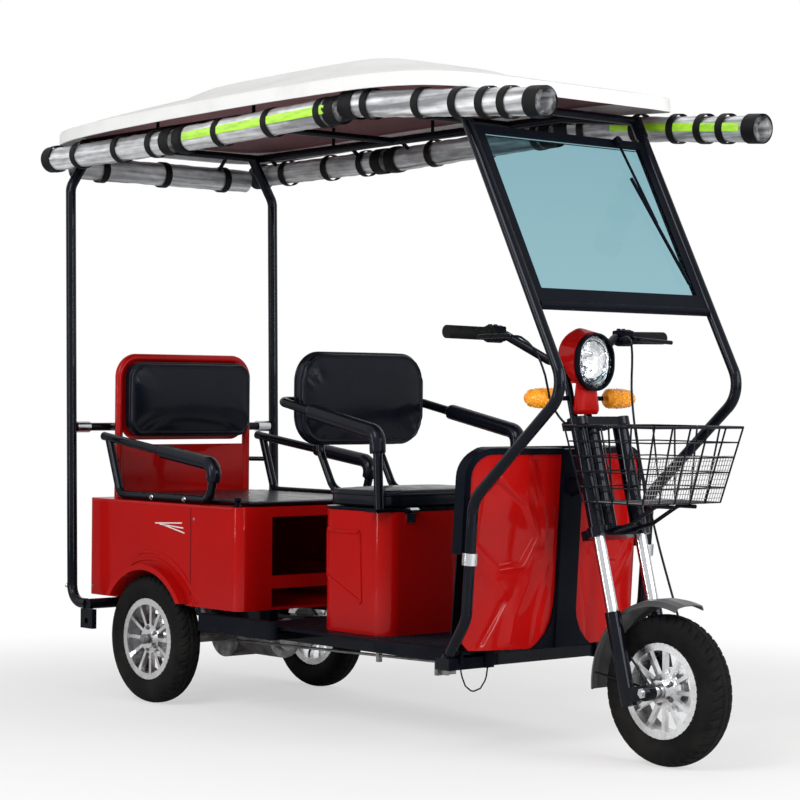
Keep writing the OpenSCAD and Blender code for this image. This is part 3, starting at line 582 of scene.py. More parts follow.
def dressRim(label, node, body, look):
    low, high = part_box(node)
    centre = (low + high) / 2
    spots = []
    for side in (-1, 1):
        for k in range(look["bolts"]):
            a = 2 * math.pi * (k + 0.5) / look["bolts"]
            start = Vector((centre.x + look["circle"] * math.cos(a), centre.y + side * 0.2,
                centre.z + look["circle"] * math.sin(a)))
            found = skinOf(node).ray_cast(start, Vector((0, -side, 0)))
            if found[0] is not None:
                spots.append(spotFacing(found[0], (0, side, 0)))
    repeatShape(label + "HubBolts", hexBolt("hubBolt", look["head"], look["tall"]), spots, "steel_grey", body)


for label, tyreNode, rimNode, body in wheelSet:
    dressRim(label, rimNode, body, hubLook)
print("hubs bolted")

# cushions: the solid is copied, remeshed, puffed as cloth and smoothed
padKeys = ("node", "body", "voxel", "face", "shrink", "pressure", "fill")
padLooks = {name: dict(zip(padKeys, row)) for name, row in {
    "rearBackPad": ("rear_seat_back", "chassis", 0.006, (1, 0, 0), 0.011, 3.0, 0.7),
    "rearDeckPad": ("rear_seat_pad", "chassis", 0.011, (0, 0, 1), 0.0024, 2.0, 0.4),
    "driverCushionPad": ("driver_cushion", "driver_seat", 0.006, (0, 0, 1), 0.012, 3.0, 0.7),
    "driverBackPad": ("driver_back", "driver_seat", 0.006, (1, 0, 0), 0.013, 3.0, 0.75),
    "rearArmSleeves": ("rear_arm_pads", "chassis", 0.0056, None, 0.002, 4.0, 0.8),
    "driverArmSleeves": ("driver_arm_pads", "driver_seat", 0.0056, None, 0.002, 4.0, 0.8),
}.items()}


def settled(piece):  # the piece with its modifiers, as a plain mesh
    graph = bpy.context.evaluated_depsgraph_get()
    return bpy.data.meshes.new_from_object(piece.evaluated_get(graph), depsgraph=graph)


def meshPlaces(mesh):
    flat = np.empty(len(mesh.vertices) * 3)
    mesh.vertices.foreach_get("co", flat)
    return flat.reshape(-1, 3)


padWork = {"heldShare": 0.45, "skin": 0.0012, "ticks": 20, "slack": 0.0004}
padSkins = {}


def puffPad(name, look):
    shape = bmesh.new()
    shape.from_mesh(nodes[look["node"]].data)
    bmesh.ops.remove_doubles(shape, verts=shape.verts, dist=1e-5)
    mesh = bpy.data.meshes.new(name)
    shape.to_mesh(mesh)
    shape.free()
    pad = bpy.data.objects.new(name + "Work", mesh)
    scene.collection.objects.link(pad)
    grid = pad.modifiers.new("grid", "REMESH")
    grid.mode, grid.voxel_size = "VOXEL", look["voxel"]
    mesh = settled(pad)
    pad.modifiers.clear()
    pad.data = mesh
    outer = meshPlaces(mesh)
    normals = np.array([tuple(v.normal) for v in mesh.vertices])
    low, high = (np.array(tuple(corner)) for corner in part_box(look["node"]))
    if look["face"]:
        face = np.array(look["face"], float)
        front = np.clip(normals @ face, 0, 1)
        share = (outer - low) @ face / ((high - low) @ face)
        held = np.flatnonzero(share < padWork["heldShare"]).tolist()
    else:
        front, held = np.ones(len(outer)), []
    skin, slack, ticks = padWork["skin"], padWork["slack"], padWork["ticks"]
    start = outer - normals * (skin + (look["shrink"] - skin) * front)[:, None]
    mesh.vertices.foreach_set("co", start.reshape(-1))
    mesh.update()
    pad.vertex_groups.new(name="held").add(held, 1.0, "REPLACE")
    puff = pad.modifiers.new("puff", "CLOTH")
    cloth = puff.settings
    cloth.quality, cloth.mass = 4, 0.3
    cloth.vertex_group_mass = "held" if held else ""
    cloth.use_pressure, cloth.uniform_pressure_force = True, look["pressure"]
    cloth.tension_stiffness = cloth.compression_stiffness = 12
    cloth.shear_stiffness, cloth.bending_stiffness = 4, 0.6
    cloth.effector_weights.gravity = 0
    puff.collision_settings.use_collision = False
    puff.point_cache.frame_start, puff.point_cache.frame_end = 1, ticks
    for tick in range(1, ticks + 1):
        scene.frame_set(tick)
    push = meshPlaces(settled(pad)) - start
    pad.modifiers.clear()
    scene.frame_set(1)
    most = np.max(push @ face) if look["face"] else np.max(np.linalg.norm(push, axis=1))
    moved = start + push * min(1, look["shrink"] / max(most, 1e-9))
    mesh.vertices.foreach_set("co", np.clip(moved, low - slack, high + slack).reshape(-1))
    mesh.update()
    even = pad.modifiers.new("even", "SMOOTH")
    even.factor, even.iterations = 0.5, 5 if look["face"] else 2
    rounder = pad.modifiers.new("round", "SUBSURF")
    rounder.levels = rounder.render_levels = 1
    final = settled(pad)
    final.name = name
    bpy.data.objects.remove(pad)
    padSkins[name] = BVHTree.FromPolygons(*meshParts(final))
    piece = dress(name, final, "seat_vinyl", look["body"], smooth=0)
    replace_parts(piece, look["node"])


for name, look in padLooks.items():
    puffPad(name, look)
    print("padded:", name)

# piping and a row of stitches round the cushions
pipingLook = {"radius": 0.0036, "stitch": 0.0065, "gap": 0.011, "inset": 0.016}
across, upward, ahead = Vector((0, 1, 0)), Vector((0, 0, 1)), Vector((1, 0, 0))
pipingRuns = {  # pad, node, the way it faces, corner radius, depth of the seam
    "chassis": [("rearBackPad", "rear_seat_back", ahead, 0.044, 0.62),
        ("rearDeckPad", "rear_seat_pad", upward, 0.03, 0.7)],
    "driver_seat": [("driverBackPad", "driver_back", ahead, 0.078, 0.62),
        ("driverBackPad", "driver_back", -ahead, 0.078, 0.78),
        ("driverCushionPad", "driver_cushion", upward, 0.03, 0.66)],
}
threadShape = turnedShape("threadShape", [(0.0001, -0.5), (0.10, -0.42), (0.13, 0), (0.10, 0.42), (0.0001, 0.5)], 6)


def seamLoop(centre, u, v, halfU, halfV, corner, step):
    loop = roundedLoop(centre, u, v, halfU, halfV, corner)
    return evenSteps(loop + loop[:1], step)[:-1]


def onPad(pad, spot, facing):  # the pad's skin under a place, met from its face
    found = padSkins[pad].ray_cast(spot + facing * 0.06, -facing)
    return found[0] if found[0] is not None else spot


for body, runs in pipingRuns.items():
    parts, threads = [], []
    for pad, node, facing, corner, depth in runs:
        low, high = (Vector(q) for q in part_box(node))
        u, v = (across, upward) if abs(facing.x) > 0.5 else (ahead, across)
        halfU, halfV = abs((high - low).dot(u)) / 2, abs((high - low).dot(v)) / 2
        centre = (low + high) / 2 + facing * (abs((high - low).dot(facing)) * (depth - 0.5))
        line = [padSkins[pad].find_nearest(p)[0] for p in seamLoop(centre, u, v, halfU, halfV, corner, 0.012)]
        parts.append(tubeParts(line, pipingLook["radius"], 8, True))
        inset = pipingLook["inset"]
        row = [onPad(pad, p, facing) for p in seamLoop(centre, u, v, halfU - inset, halfV - inset,
            max(0.012, corner - inset), pipingLook["gap"])]
        threads += [spotFacing(p + facing * 0.0004, q - p, facing) for p, q in zip(row, row[1:] + row[:1])]
    dress(body + "SeatPiping", joinParts(parts), "seat_vinyl", body)
    repeatShape(body + "SeatStitches", threadShape.copy(), threads, "webbing", body,
        size=pipingLook["stitch"])
print("piping sewn")

# rolled clear curtains, wound as real sheets
rollLook = {"inner": 0.019, "outer": 0.0368, "turns": 4, "around": 30, "step": 0.016, "wobble": 0.0011,
    "pinch": 0.02, "pinches": 5, "most": 0.0378}
rollRuns = {}
for label, side in (("Right", -391), ("Left", 391)):
    for part, (x0, z0), (x1, z1) in (("rear", (-437, 1592), (206, 1602)), ("mid", (226, 1602), (926, 1629)),
            ("front", (946, 1640), (1663, 1585))):
        rollRuns[part + label] = ("curtain_rolls_" + label.lower(), at(x0, side, z0), at(x1, side, z1))
backLook = {"x": -414, "z": 1572, "ends": (-325, 325), "straps": (-230, 0, 230)}
rollRuns["back"] = ("curtain_roll_rear", *(at(backLook["x"], y, backLook["z"]) for y in backLook["ends"]))


def windRoll(name, node, start, end, look, seed):
    run = (end - start)
    long = run.length
    run.normalize()
    side = run.cross(upward).normalized()
    rise = side.cross(run)
    count = round(long / look["step"])
    ring = look["around"] * look["turns"]
    turn = np.linspace(0, look["turns"] * 2 * math.pi, ring + 1)
    radius = np.linspace(look["inner"], look["outer"], ring + 1)
    verts = []
    for k in range(count + 1):
        t = k / count
        sway = look["wobble"] * np.sin(turn * 3 + seed + t * 19) * np.sin(t * 41 + seed * 2 + turn * 0.7)
        pinch = 1 - look["pinch"] * (0.5 + 0.5 * math.cos(t * 2 * math.pi * look["pinches"] + seed))
        r = np.minimum(radius * pinch + sway, look["most"])
        spot = start + run * (long * t)
        for a, q in zip(turn, r):
            verts.append(spot + (side * math.cos(a + seed) + rise * math.sin(a + seed)) * float(q))
    m = ring + 1
    faces = [(k * m + j, (k + 1) * m + j, (k + 1) * m + j + 1, k * m + j + 1) for k in range(count)
        for j in range(ring)]
    piece = dress(name, (verts, faces), "back_film" if node == "curtain_roll_rear" else "curtain_film", "chassis",
        smooth=0)
    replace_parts(piece, node)


for order, (label, (node, start, end)) in enumerate(rollRuns.items()):
    windRoll(label + "CurtainRoll", node, start, end, rollLook, order * 1.3)
print("curtains rolled")

# webbing straps and bindings round the rolls, safety strips along them
strapLook = {"wide": 0.024, "thick": 0.0014, "radius": 0.0388}
bindingLook = {"wide": 0.044, "radius": 0.0379, "thick": 0.0009}
strapPlaces = {"rear": [-405, -270, -60, 110], "mid": [250, 420, 640, 860],
    "front": [985, 1045, 1240, 1375, 1470, 1545]}


def bandMesh(name, look):
    half, radius, thick = look["wide"] / 2, look["radius"], look["thick"]
    return turnedShape(name, [(radius, -half), (radius + thick * 0.8, -half), (radius + thick, -half * 0.7),
        (radius + thick, half * 0.7), (radius + thick * 0.8, half), (radius, half), (radius, -half)], 40)


strapSpots, capSpots = [], []
for label, places in ((part + side, places) for side in ("Right", "Left") for part, places in strapPlaces.items()):
    node, start, end = rollRuns[label]
    run = (end - start).normalized()
    for x in places:
        t = (at(x, 0, 0).x - start.x) / (end.x - start.x)
        strapSpots.append(spotFacing(start + (end - start) * t, run, upward))
    for spot in (start, end):
        inward = run if spot is start else -run
        capSpots.append(spotFacing(spot + inward * bindingLook["wide"] / 2, run, upward))
for y in backLook["straps"]:
    strapSpots.append(spotFacing(at(backLook["x"], y, backLook["z"]), across, upward))
repeatShape("curtainStraps", bandMesh("strapBand", strapLook), strapSpots, "webbing", "chassis")
repeatShape("curtainBindings", bandMesh("bindingBand", bindingLook), capSpots, "webbing", "chassis")

stripLook = {"radius": 0.0387, "middle": 2, "half": 17}
stripRuns = [("midRight", 0.07, 0.95), ("frontLeft", 0.30, 0.93)]


def layStrip(label, first, last, look):
    node, start, end = rollRuns[label]
    run = (end - start)
    side = Vector((0, -1, 0))
    verts, count, ring = [], 60, 8
    for k in range(count + 1):
        spot = start + run * (first + (last - first) * k / count)
        for j in range(ring + 1):
            a = math.radians(look["middle"] + look["half"] * (2 * j / ring - 1))
            lift = look["radius"] + 0.0003 * math.sin(k * 1.7 + j)
            verts.append(spot + (side * math.cos(a) + upward * math.sin(a)) * lift)
    m = ring + 1
    faces = [(k * m + j, k * m + j + 1, (k + 1) * m + j + 1, (k + 1) * m + j) for k in range(count)
        for j in range(ring)]
    return verts, faces


dress("curtainSafetyStrips", joinParts([layStrip(*run, stripLook) for run in stripRuns]), "safety", "chassis")
print("straps and strips on")


# thin raised ribbons that follow a node's surface
def ribbonOn(node, route, width, rise, heading, step=0.010):
    spots = []
    for start in evenSteps([Vector(p) for p in route], step):
        found = landOn(node, start, heading)
        if found:
            spots.append(found)
    verts, faces = [], []
    for k, (spot, normal) in enumerate(spots):
        before, after = spots[max(k - 1, 0)][0], spots[min(k + 1, len(spots) - 1)][0]
        side = normal.cross(after - before).normalized() * width / 2
        verts += [spot - side - normal * 0.0006, spot - side * 0.72 + normal * rise,
            spot + side * 0.72 + normal * rise, spot + side - normal * 0.0006]
    for k in range(len(spots) - 1):
        a, b = k * 4, k * 4 + 4
        faces += [(a + j, a + (j + 1) % 4, b + (j + 1) % 4, b + j) for j in range(4)]
    if len(spots) > 1:
        faces += [(0, 1, 2, 3), tuple(len(verts) - 4 + j for j in range(4))]
    return verts, faces


def ribbonPiece(name, runs, finish, body):
    parts = [part for part in (ribbonOn(*run) for run in runs) if part[1]]
    return dress(name, joinParts(parts), finish, body)


outside = 500  # millimetres to the side, where lines towards the panels start
seamLook = {"width": 0.003, "rise": 0.0004, "line": [(192, 300), (192, 574)]}
seams = []
for side in (-1, 1):
    heading = (0, -side, 0)
    far = side * outside
    seams.append(("rear_body", [at(x, far, z) for x, z in seamLook["line"]], seamLook["width"], seamLook["rise"],
        heading))
ribbonPiece("rearBoxSeams", seams, "black_plastic", "chassis")

stripeLook = {"width": 0.0045, "rise": 0.0005, "lines": [((20, 520), (150, 526)), ((42, 518), (156, 512)),
    ((64, 516), (162, 498))]}
stripes = []
for side in (-1, 1):
    heading = (0, -side, 0)
    far = side * outside
    for line in stripeLook["lines"]:
        stripes.append(("rear_body", [at(x, far, z) for x, z in line], stripeLook["width"], stripeLook["rise"],
            heading))
ribbonPiece("rearBoxStripes", stripes, "stripe", "chassis")
print("panel lines drawn")

# sculpted wings of the leg shield, on the same bow and lean as the solid
wingLook = {"rows": 150, "columns": 84, "thick": 4.0, "tall": 490, "lean": 3.5, "foot": (1296, 263.4),
    "bow": 46, "bowPower": 2.2, "half": 303, "edge": 302.3, "chamfer": (17, 285),
    "corner": 60, "cornerFrom": 430, "cornerPlace": 242.5, "field": (302, 268),
    "recessDeep": 7.0, "recessEdge": (5, 12), "lip": (1.8, 8, 6), "ridgePower": 1.4, "border": 16, "proud": 0.4,
    "flare": [(0, 104.8), (14, 84.8), (38, 60.8), (70, 44.8), (110, 36.8), (150, 34.6), (490, 34.6)],
    "recess": [(0.14, 0.79), (0.28, 0.865), (0.585, 0.74), (0.735, 0.577), (0.585, 0.44), (0.34, 0.423),
        (0.095, 0.545)],
    "ridges": [([(0.02, 0.50), (0.40, 0.30)], 3.6, 26), ([(0.40, 0.24), (0.15, 0.0)], -4.0, 12),
        ([(0.74, 0.46), (0.66, 0.34), (0.52, 0.17), (0.47, 0.0)], 5.0, 34),
        ([(0.64, 0.98), (0.74, 0.80), (0.82, 0.66), (0.84, 0.56)], 2.6, 16),
        ([(0.93, 0.42), (0.80, 0.16), (0.76, 0.0)], -3.0, 16)]}


def lineGap(y, h, points):  # distance in millimetres from each place to a broken line
    best = np.full(y.shape, 1e9)
    for (ay, ah), (by, bh) in zip(points, points[1:]):
        ry, rh = by - ay, bh - ah
        t = np.clip(((y - ay) * ry + (h - ah) * rh) / (ry * ry + rh * rh), 0, 1)
        best = np.minimum(best, np.hypot(y - ay - t * ry, h - ah - t * rh))
    return best


def insideOf(y, h, points):
    inside = np.zeros(y.shape, bool)
    for (ay, ah), (by, bh) in zip(points, points[1:] + points[:1]):
        crosses = (ah > h) != (bh > h)
        inside ^= crosses & (y < (by - ay) * (h - ah) / (bh - ah + 1e-12) + ay)
    return inside


def wingParts(side, look):
    rise = np.linspace(0, look["tall"], look["rows"])
    inner = np.interp(rise, [q[0] for q in look["flare"]], [q[1] for q in look["flare"]])
    bend = look["cornerPlace"] + np.sqrt(np.maximum(0, look["corner"] ** 2 - (rise - look["cornerFrom"]) ** 2))
    outer = np.where(rise > look["cornerFrom"], bend, look["edge"])
    outer = np.minimum(outer, np.where(rise < look["chamfer"][0], look["chamfer"][1] + rise, look["edge"]))
    share = np.linspace(0, 1, look["columns"])
    y = inner[:, None] + (outer - inner)[:, None] * share[None, :]
    h = np.broadcast_to(rise[:, None], y.shape)
    spot = lambda q: (look["field"][0] - q[0] * look["field"][1], q[1] * look["tall"])
    shape = [spot(q) for q in look["recess"]]
    edge = lineGap(y, h, shape + shape[:1])
    signed = np.where(insideOf(y, h, shape), edge, -edge)
    (start, slope), (lip, lipPlace, lipWide) = look["recessEdge"], look["lip"]
    step = np.clip((signed + start) / slope, 0, 1)
    lift = -look["recessDeep"] * step * step * (3 - 2 * step) + lip * np.exp(-((signed + lipPlace) / lipWide) ** 2)
    for line, height, wide in look["ridges"]:
        lift = lift + height * np.clip(1 - lineGap(y, h, [spot(q) for q in line]) / wide, 0, 1) ** look["ridgePower"]
    border = np.minimum(np.minimum(share, 1 - share)[None, :] * look["field"][1],
        np.minimum(rise, look["tall"] - rise)[:, None])
    lift = lift * np.clip(border / look["border"], 0, 1) + look["proud"]
    bow = look["bow"] * (1 - (np.abs(y) / look["half"]) ** look["bowPower"])
    lean, (footX, footZ) = math.radians(look["lean"]), look["foot"]
    verts = []
    for depth in (lift, np.minimum(lift, 0) - look["thick"]):
        x = bow + depth
        verts += np.stack([(footX - rearAxle + x * math.cos(lean) + h * math.sin(lean)) / 1000, side * y / 1000,
            (footZ - x * math.sin(lean) + h * math.cos(lean)) / 1000], -1).reshape(-1, 3).tolist()
    n, m = look["rows"], look["columns"]
    faces = [(i * m + j, i * m + j + 1, (i + 1) * m + j + 1, (i + 1) * m + j) for i in range(n - 1)
        for j in range(m - 1)]
    faces += [tuple(n * m + k for k in face) for face in faces]
    rim = list(range(m)) + [i * m + m - 1 for i in range(1, n)]
    rim += [(n - 1) * m + j for j in range(m - 2, -1, -1)] + [i * m for i in range(n - 2, 0, -1)]
    faces += [(a, b, b + n * m, a + n * m) for a, b in zip(rim, rim[1:] + rim[:1])]
    return verts, faces


wings = dress("sculptedWings", joinParts([wingParts(-1, wingLook), wingParts(1, wingLook)]), "body_red", "chassis",
    smooth=35)
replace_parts(wings, "leg_shield_wings")
print("wings sculpted")

# screws and bolts on the body
screwLook = {"radius": 0.0036, "height": 0.0018, "places": ((206, 540), (206, 330), (-300, 318))}
r, h = screwLook["radius"], screwLook["height"]
domeScrew = turnedShape("domeScrew", [(r * 1.25, 0), (r * 1.25, 0.0007), (r, 0.0009), (r * 0.8, h * 0.75),
    (r * 0.45, h), (0.0015, h), (0.0015, h * 0.5), (0.0001, h * 0.5)], 10)
screwSpots = []


def screwAt(node, start, heading):
    found = landOn(node, start, heading)
    if found:
        screwSpots.append(spotFacing(found[0], found[1]))


for side in (-1, 1):
    for x, z in screwLook["places"]:
        screwAt("rear_body", at(x, side * outside, z), (0, -side, 0))
repeatShape("bodyScrews", domeScrew, screwSpots, "steel_grey", "chassis")
boltLook = {"head": 0.0055, "tall": 0.006, "outside": 600,
    "places": (("rear_armrests", -240, 592), ("rear_armrests", -30, 592), ("rear_armrests", 130, 592),
        ("post_clamps", -336, 791), ("rear_posts", -330, 320))}
boltSpots = []
for side in (-1, 1):
    for node, x, z in boltLook["places"]:
        found = landOn(node, at(x, side * boltLook["outside"], z), (0, -side, 0))
        if found:
            boltSpots.append(spotFacing(found[0], found[1]))
repeatShape("frameBolts", hexBolt("frameBolt", boltLook["head"], boltLook["tall"]), boltSpots, "bright_metal",
    "chassis")
print("fasteners set:", len(screwSpots), len(boltSpots))

# headlight: bowl, dark bucket, domed lens and bulbs
lampLook = {"halfW": 0.0592, "straight": 0.0068, "height": 984, "bowl": (1447, 38), "bucket": (1445.6, 38.6),
    "lens": (1448, 14), "inner": (1446, 13.6), "innerShare": 0.97, "bulbs": [(1414, 1004), (1414, 964)]}


def lampRing(grow, x, steps=48):
    loop = []
    for k in range(steps):
        a = 2 * math.pi * k / steps
        r = lampLook["halfW"] * grow
        rise = r * math.cos(a) + math.copysign(lampLook["straight"] * grow, math.cos(a))
        loop.append(at(x, 0, lampLook["height"]) + Vector((0, r * math.sin(a), rise)))
    return loop


def loftRings(rings):
    verts = [v for ring in rings for v in ring]
    m = len(rings[0])
    faces = [(k * m + j, k * m + (j + 1) % m, (k + 1) * m + (j + 1) % m, (k + 1) * m + j)
        for k in range(len(rings) - 1) for j in range(m)]
    faces.append(tuple(range((len(rings) - 1) * m, len(rings) * m)))
    return verts, faces


bowl = [lampRing(max(0.06, math.sqrt(1 - (k / 12) ** 2)), lampLook["bowl"][0] - lampLook["bowl"][1] * k / 12)
    for k in range(13)]
dress("headlightBowl", loftRings(bowl), "reflector", "steering", smooth=0)
bucket = [lampRing(max(0.08, math.sqrt(1 - (k / 12) ** 2) * 1.012),
    lampLook["bucket"][0] - lampLook["bucket"][1] * k / 12) for k in range(13)]
dress("headlightBucket", loftRings(bucket), "black_plastic", "steering", smooth=0)


def domeRings(place, rise, share):
    rings = []
    for k in range(11):
        a = k / 10 * math.pi / 2
        rings.append(lampRing((math.cos(a) if k < 10 else 0.02) * share, place + rise * math.sin(a)))
    return rings


outer, inner = domeRings(*lampLook["lens"], 1), domeRings(*lampLook["inner"], lampLook["innerShare"])
lensParts, innerParts = loftRings(outer), loftRings(inner)
m = len(outer[0])
lensVerts, lensFaces = joinParts([lensParts, innerParts])
offset = len(lensParts[0])
lensFaces += [(j, (j + 1) % m, offset + (j + 1) % m, offset + j) for j in range(m)]
lens = dress("headlightDome", (lensVerts, lensFaces), "lamp_clear", "steering", smooth=0)
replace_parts(lens, "headlight_lens")
bulb = turnedShape("headlightBulb", [(0.0001, 0), (0.012, 0), (0.012, 0.004), (0.0085, 0.006), (0.0085, 0.018),
    (0.006, 0.024), (0.0001, 0.026)], 20)
repeatShape("headlightBulbs", bulb, [spotFacing(at(x, 0, z), ahead) for x, z in lampLook["bulbs"]], "bright_metal",
    "steering")

# beads over the amber indicators
beadLook = {"rows": 6, "around": 16, "radius": 0.0036, "first": 104, "pitch": 14, "axis": (1404, 892)}
beadSpots = []
for side in (-1, 1):
    for k in range(beadLook["rows"]):
        y = side * (beadLook["first"] + beadLook["pitch"] * k)
        for j in range(beadLook["around"]):
            a = 2 * math.pi * (j + 0.5 * (k % 2)) / beadLook["around"]
            out = Vector((math.cos(a), 0, math.sin(a)))
            start = at(beadLook["axis"][0], y, beadLook["axis"][1]) + out * 0.06
            found = skinOf("indicators").ray_cast(start, -out)
            if found[0] is not None:
                beadSpots.append(spotFacing(found[0] - out * 0.0012, out))
repeatShape("indicatorBeads", turnedShape("amberBead",
    [(beadLook["radius"], 0), (beadLook["radius"] * 0.92, 0.0013), (beadLook["radius"] * 0.6, 0.0025),
    (0.0001, 0.003)], 8), beadSpots, "lamp_amber", "steering")
print("lamps fitted")

# fine mesh in the front and the floor of the basket
meshLook = {"wire": 0.0009, "height": 0.62, "crossGaps": 16, "longGaps": 31, "rows": 10,
    "floor": (1550, 1748, 140, 640), "rim": (1504, 1802, 160, 825)}


def basketAt(u, v, t):  # u along, v across, both from 0 to 1, t up the side
    b = [a + (c - a) * t for a, c in zip(meshLook["floor"], meshLook["rim"])]
    return at(b[0] + (b[1] - b[0]) * u, b[2] * (2 * v - 1), b[3])


wires = []
for k in range(1, meshLook["crossGaps"]):
    u = k / meshLook["crossGaps"]
    wires.append([basketAt(u, 0, 0), basketAt(u, 1, 0)])
for k in range(1, meshLook["longGaps"]):
    v = k / meshLook["longGaps"]
    wires.append([basketAt(0, v, 0), basketAt(1, v, 0), basketAt(1, v, meshLook["height"])])
for k in range(1, meshLook["rows"] + 1):
    t = meshLook["height"] * k / meshLook["rows"]
    wires.append([basketAt(1, 0, t), basketAt(1, 1, t)])
dress("basketMesh", joinParts([tubeParts(evenSteps(w, 0.04), meshLook["wire"], 5) for w in wires]), "steel_grey",
    "steering")
print("basket lined")

# moulded creases in the red panels: arcs over the rear wheels, a raised field on the driver base, a rolled top edge
creaseLook = {"arcs": [(232, 18, 118), (252, 28, 104)], "arcWidth": 0.012, "arcRise": 0.0032,
    "field": [(690, 532), (690, 412), (836, 346), (828, 532)], "fieldWidth": 0.012, "fieldRise": 0.003,
    "hub": 185, "edge": 0.0048, "edgeEnds": (-300, 384), "edgePlace": (321, 575)}
creases = []
for side in (-1, 1):
    heading = (0, -side, 0)
    for r, first, last in creaseLook["arcs"]:
        arc = [at(r * math.cos(math.radians(a)), side * outside, creaseLook["hub"] + r * math.sin(math.radians(a)))
            for a in range(first, last + 1, 4)]
        creases.append(("rear_body", arc, creaseLook["arcWidth"], creaseLook["arcRise"], heading))
    loop = [at(x, side * outside, z) for x, z in creaseLook["field"]]
    for a, b in zip(loop, loop[1:] + loop[:1]):
        creases.append(("driver_base", [a, b], creaseLook["fieldWidth"], creaseLook["fieldRise"], heading))
ribbonPiece("panelCreases", creases, "body_red", "chassis")
edges, (edgeY, edgeZ) = [], creaseLook["edgePlace"]
for side in (-1, 1):
    line = evenSteps([at(x, side * edgeY, edgeZ) for x in creaseLook["edgeEnds"]], 0.02)
    edges.append(tubeParts(line, creaseLook["edge"], 12))
dress("rearBoxEdges", joinParts(edges), "body_red", "chassis")

# knobs that hold the rear deck down, and stays of the front mudguard
knobLook = {"places": [(372, -296), (372, 296)], "height": 580}
knob = turnedShape("deckKnob", [(0.0001, 0), (0.012, 0), (0.012, 0.004), (0.006, 0.006), (0.006, 0.013),
    (0.0095, 0.016), (0.0105, 0.021), (0.0085, 0.026), (0.0001, 0.0275)], 18)
repeatShape("deckKnobs", knob, [spotFacing(at(x, y, knobLook["height"]), upward) for x, y in knobLook["places"]],
    "black_plastic", "chassis")
stayLook = {"radius": 0.0028, "foot": (1704, 189), "ends": [(1512, 214), (1560, 330)], "y": 50}
stays = [tubeParts(evenSteps([at(stayLook["foot"][0], s * stayLook["y"], stayLook["foot"][1]),
    at(x, s * stayLook["y"], z)], 0.03), stayLook["radius"], 10) for s in (-1, 1) for x, z in stayLook["ends"]]
dress("mudguardStays", joinParts(stays), "frame_black", "steering")
print("creases, knobs and stays on")

# smooth roof on the same rule as the solid, with finer steps
roofLook = {"rear": -455, "front": 1400, "halfWidth": 436, "square": 8, "steps": 176,
    "crest": 1000, "crestHeight": 1668, "rearFall": 39, "frontFall": 25, "frontReach": 427,
    "dome": 105, "domeFall": 30, "fallReach": 300, "bulge": 1.5, "skirt": 35,
    "plateau": 16, "plateauEdge": (0.45, 0.58),
    "rings": [0.04, 0.1, 0.2, 0.3, 0.4, 0.44, 0.47, 0.5, 0.53, 0.56, 0.6, 0.66, 0.72, 0.79, 0.86, 0.91,
        0.95, 0.975, 0.988, 0.996]}


def easeStep(low, high, value):
    t = np.clip((value - low) / (high - low), 0, 1)
    return t * t * (3 - 2 * t)


def roofRing(look, rho, drop, hem=False):
    half, middle = (look["front"] - look["rear"]) / 2, (look["front"] + look["rear"]) / 2
    turn = np.arange(look["steps"]) * 2 * math.pi / look["steps"]
    soft = lambda v: np.sign(v) * np.sqrt(np.abs(v))
    a = np.arctan2(look["halfWidth"] * soft(np.sin(turn)), half * soft(np.cos(turn)))
    power, crest = look["square"], look["crest"]
    reach = rho * ((np.abs(np.cos(a)) / half) ** power
        + (np.abs(np.sin(a)) / look["halfWidth"]) ** power) ** (-1 / power)
    x, y = middle + reach * np.cos(a), reach * np.sin(a)
    away = x - crest
    low = look["crestHeight"] - np.where(away < 0, look["rearFall"] * (away / (crest - look["rear"])) ** 2,
        look["frontFall"] * (away / look["frontReach"]) ** 2)
    dome = look["dome"] - look["domeFall"] * easeStep(crest - look["fallReach"], crest + look["fallReach"], x)
    rise = look["skirt"] + dome * (1 - rho ** look["bulge"])
    rise = rise + look["plateau"] * (1 - easeStep(*look["plateauEdge"], rho))
    return [at(*p) for p in zip(x.tolist(), y.tolist(), (low if hem else low + rise - drop).tolist())]


def buildRoof(look):
    top = [roofRing(look, rho, 0) for rho in look["rings"]] + [roofRing(look, 0.9985, 4), roofRing(look, 1.0, 9)]
    under = [roofRing(look, 1.0, 0, True), roofRing(look, 0.986, 0, True)]
    under += [roofRing(look, rho, 5 if rho < 0.9 else 7) for rho in reversed(look["rings"][:-1])]
    verts, faces = loftRings(top + under)
    faces.append(tuple(range(len(top[0]))))
    piece = dress("smoothRoof", (verts, faces), "roof_white", "chassis", smooth=48)
    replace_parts(piece, "roof_shell")


buildRoof(roofLook)
print("roof smoothed")

# switch pods beside the grips
podLook = {"half": (0.021, 0.022, 0.019), "bevel": 0.006, "places": [(1331, -232, 1051), (1331, 232, 1051)]}


def podMesh(name, half, bevel):
    shape = bmesh.new()
    bmesh.ops.create_cube(shape, size=2)
    bmesh.ops.scale(shape, vec=half, verts=shape.verts)
    bmesh.ops.bevel(shape, geom=list(shape.edges), offset=bevel, segments=3, profile=0.6, affect="EDGES")
    for x, y in ((-0.008, -0.009), (-0.008, 0.009)):  # two keys on the rider's side
        key = bmesh.ops.create_cone(shape, cap_ends=True, segments=12, radius1=0.006, radius2=0.005,
            depth=0.006)["verts"]
        bmesh.ops.translate(shape, vec=(x, y, half[2] + 0.002), verts=key)
    mesh = bpy.data.meshes.new(name)
    shape.to_mesh(mesh)
    shape.free()
    return mesh


repeatShape("switchPods", podMesh("switchPod", podLook["half"], podLook["bevel"]),
    [spotFacing(at(*p), upward, ahead) for p in podLook["places"]], "black_plastic", "steering")

# front brake cable, from the left lever down to the hub
cableLook = {"diameter": 0.006, "route": [(1352, 196, 1046), (1392, 190, 1050), (1440, 150, 1005), (1470, 118, 900),
    (1500, 112, 760), (1560, 112, 560), (1628, 112, 380), (1690, 100, 250), (1708, 86, 208)]}


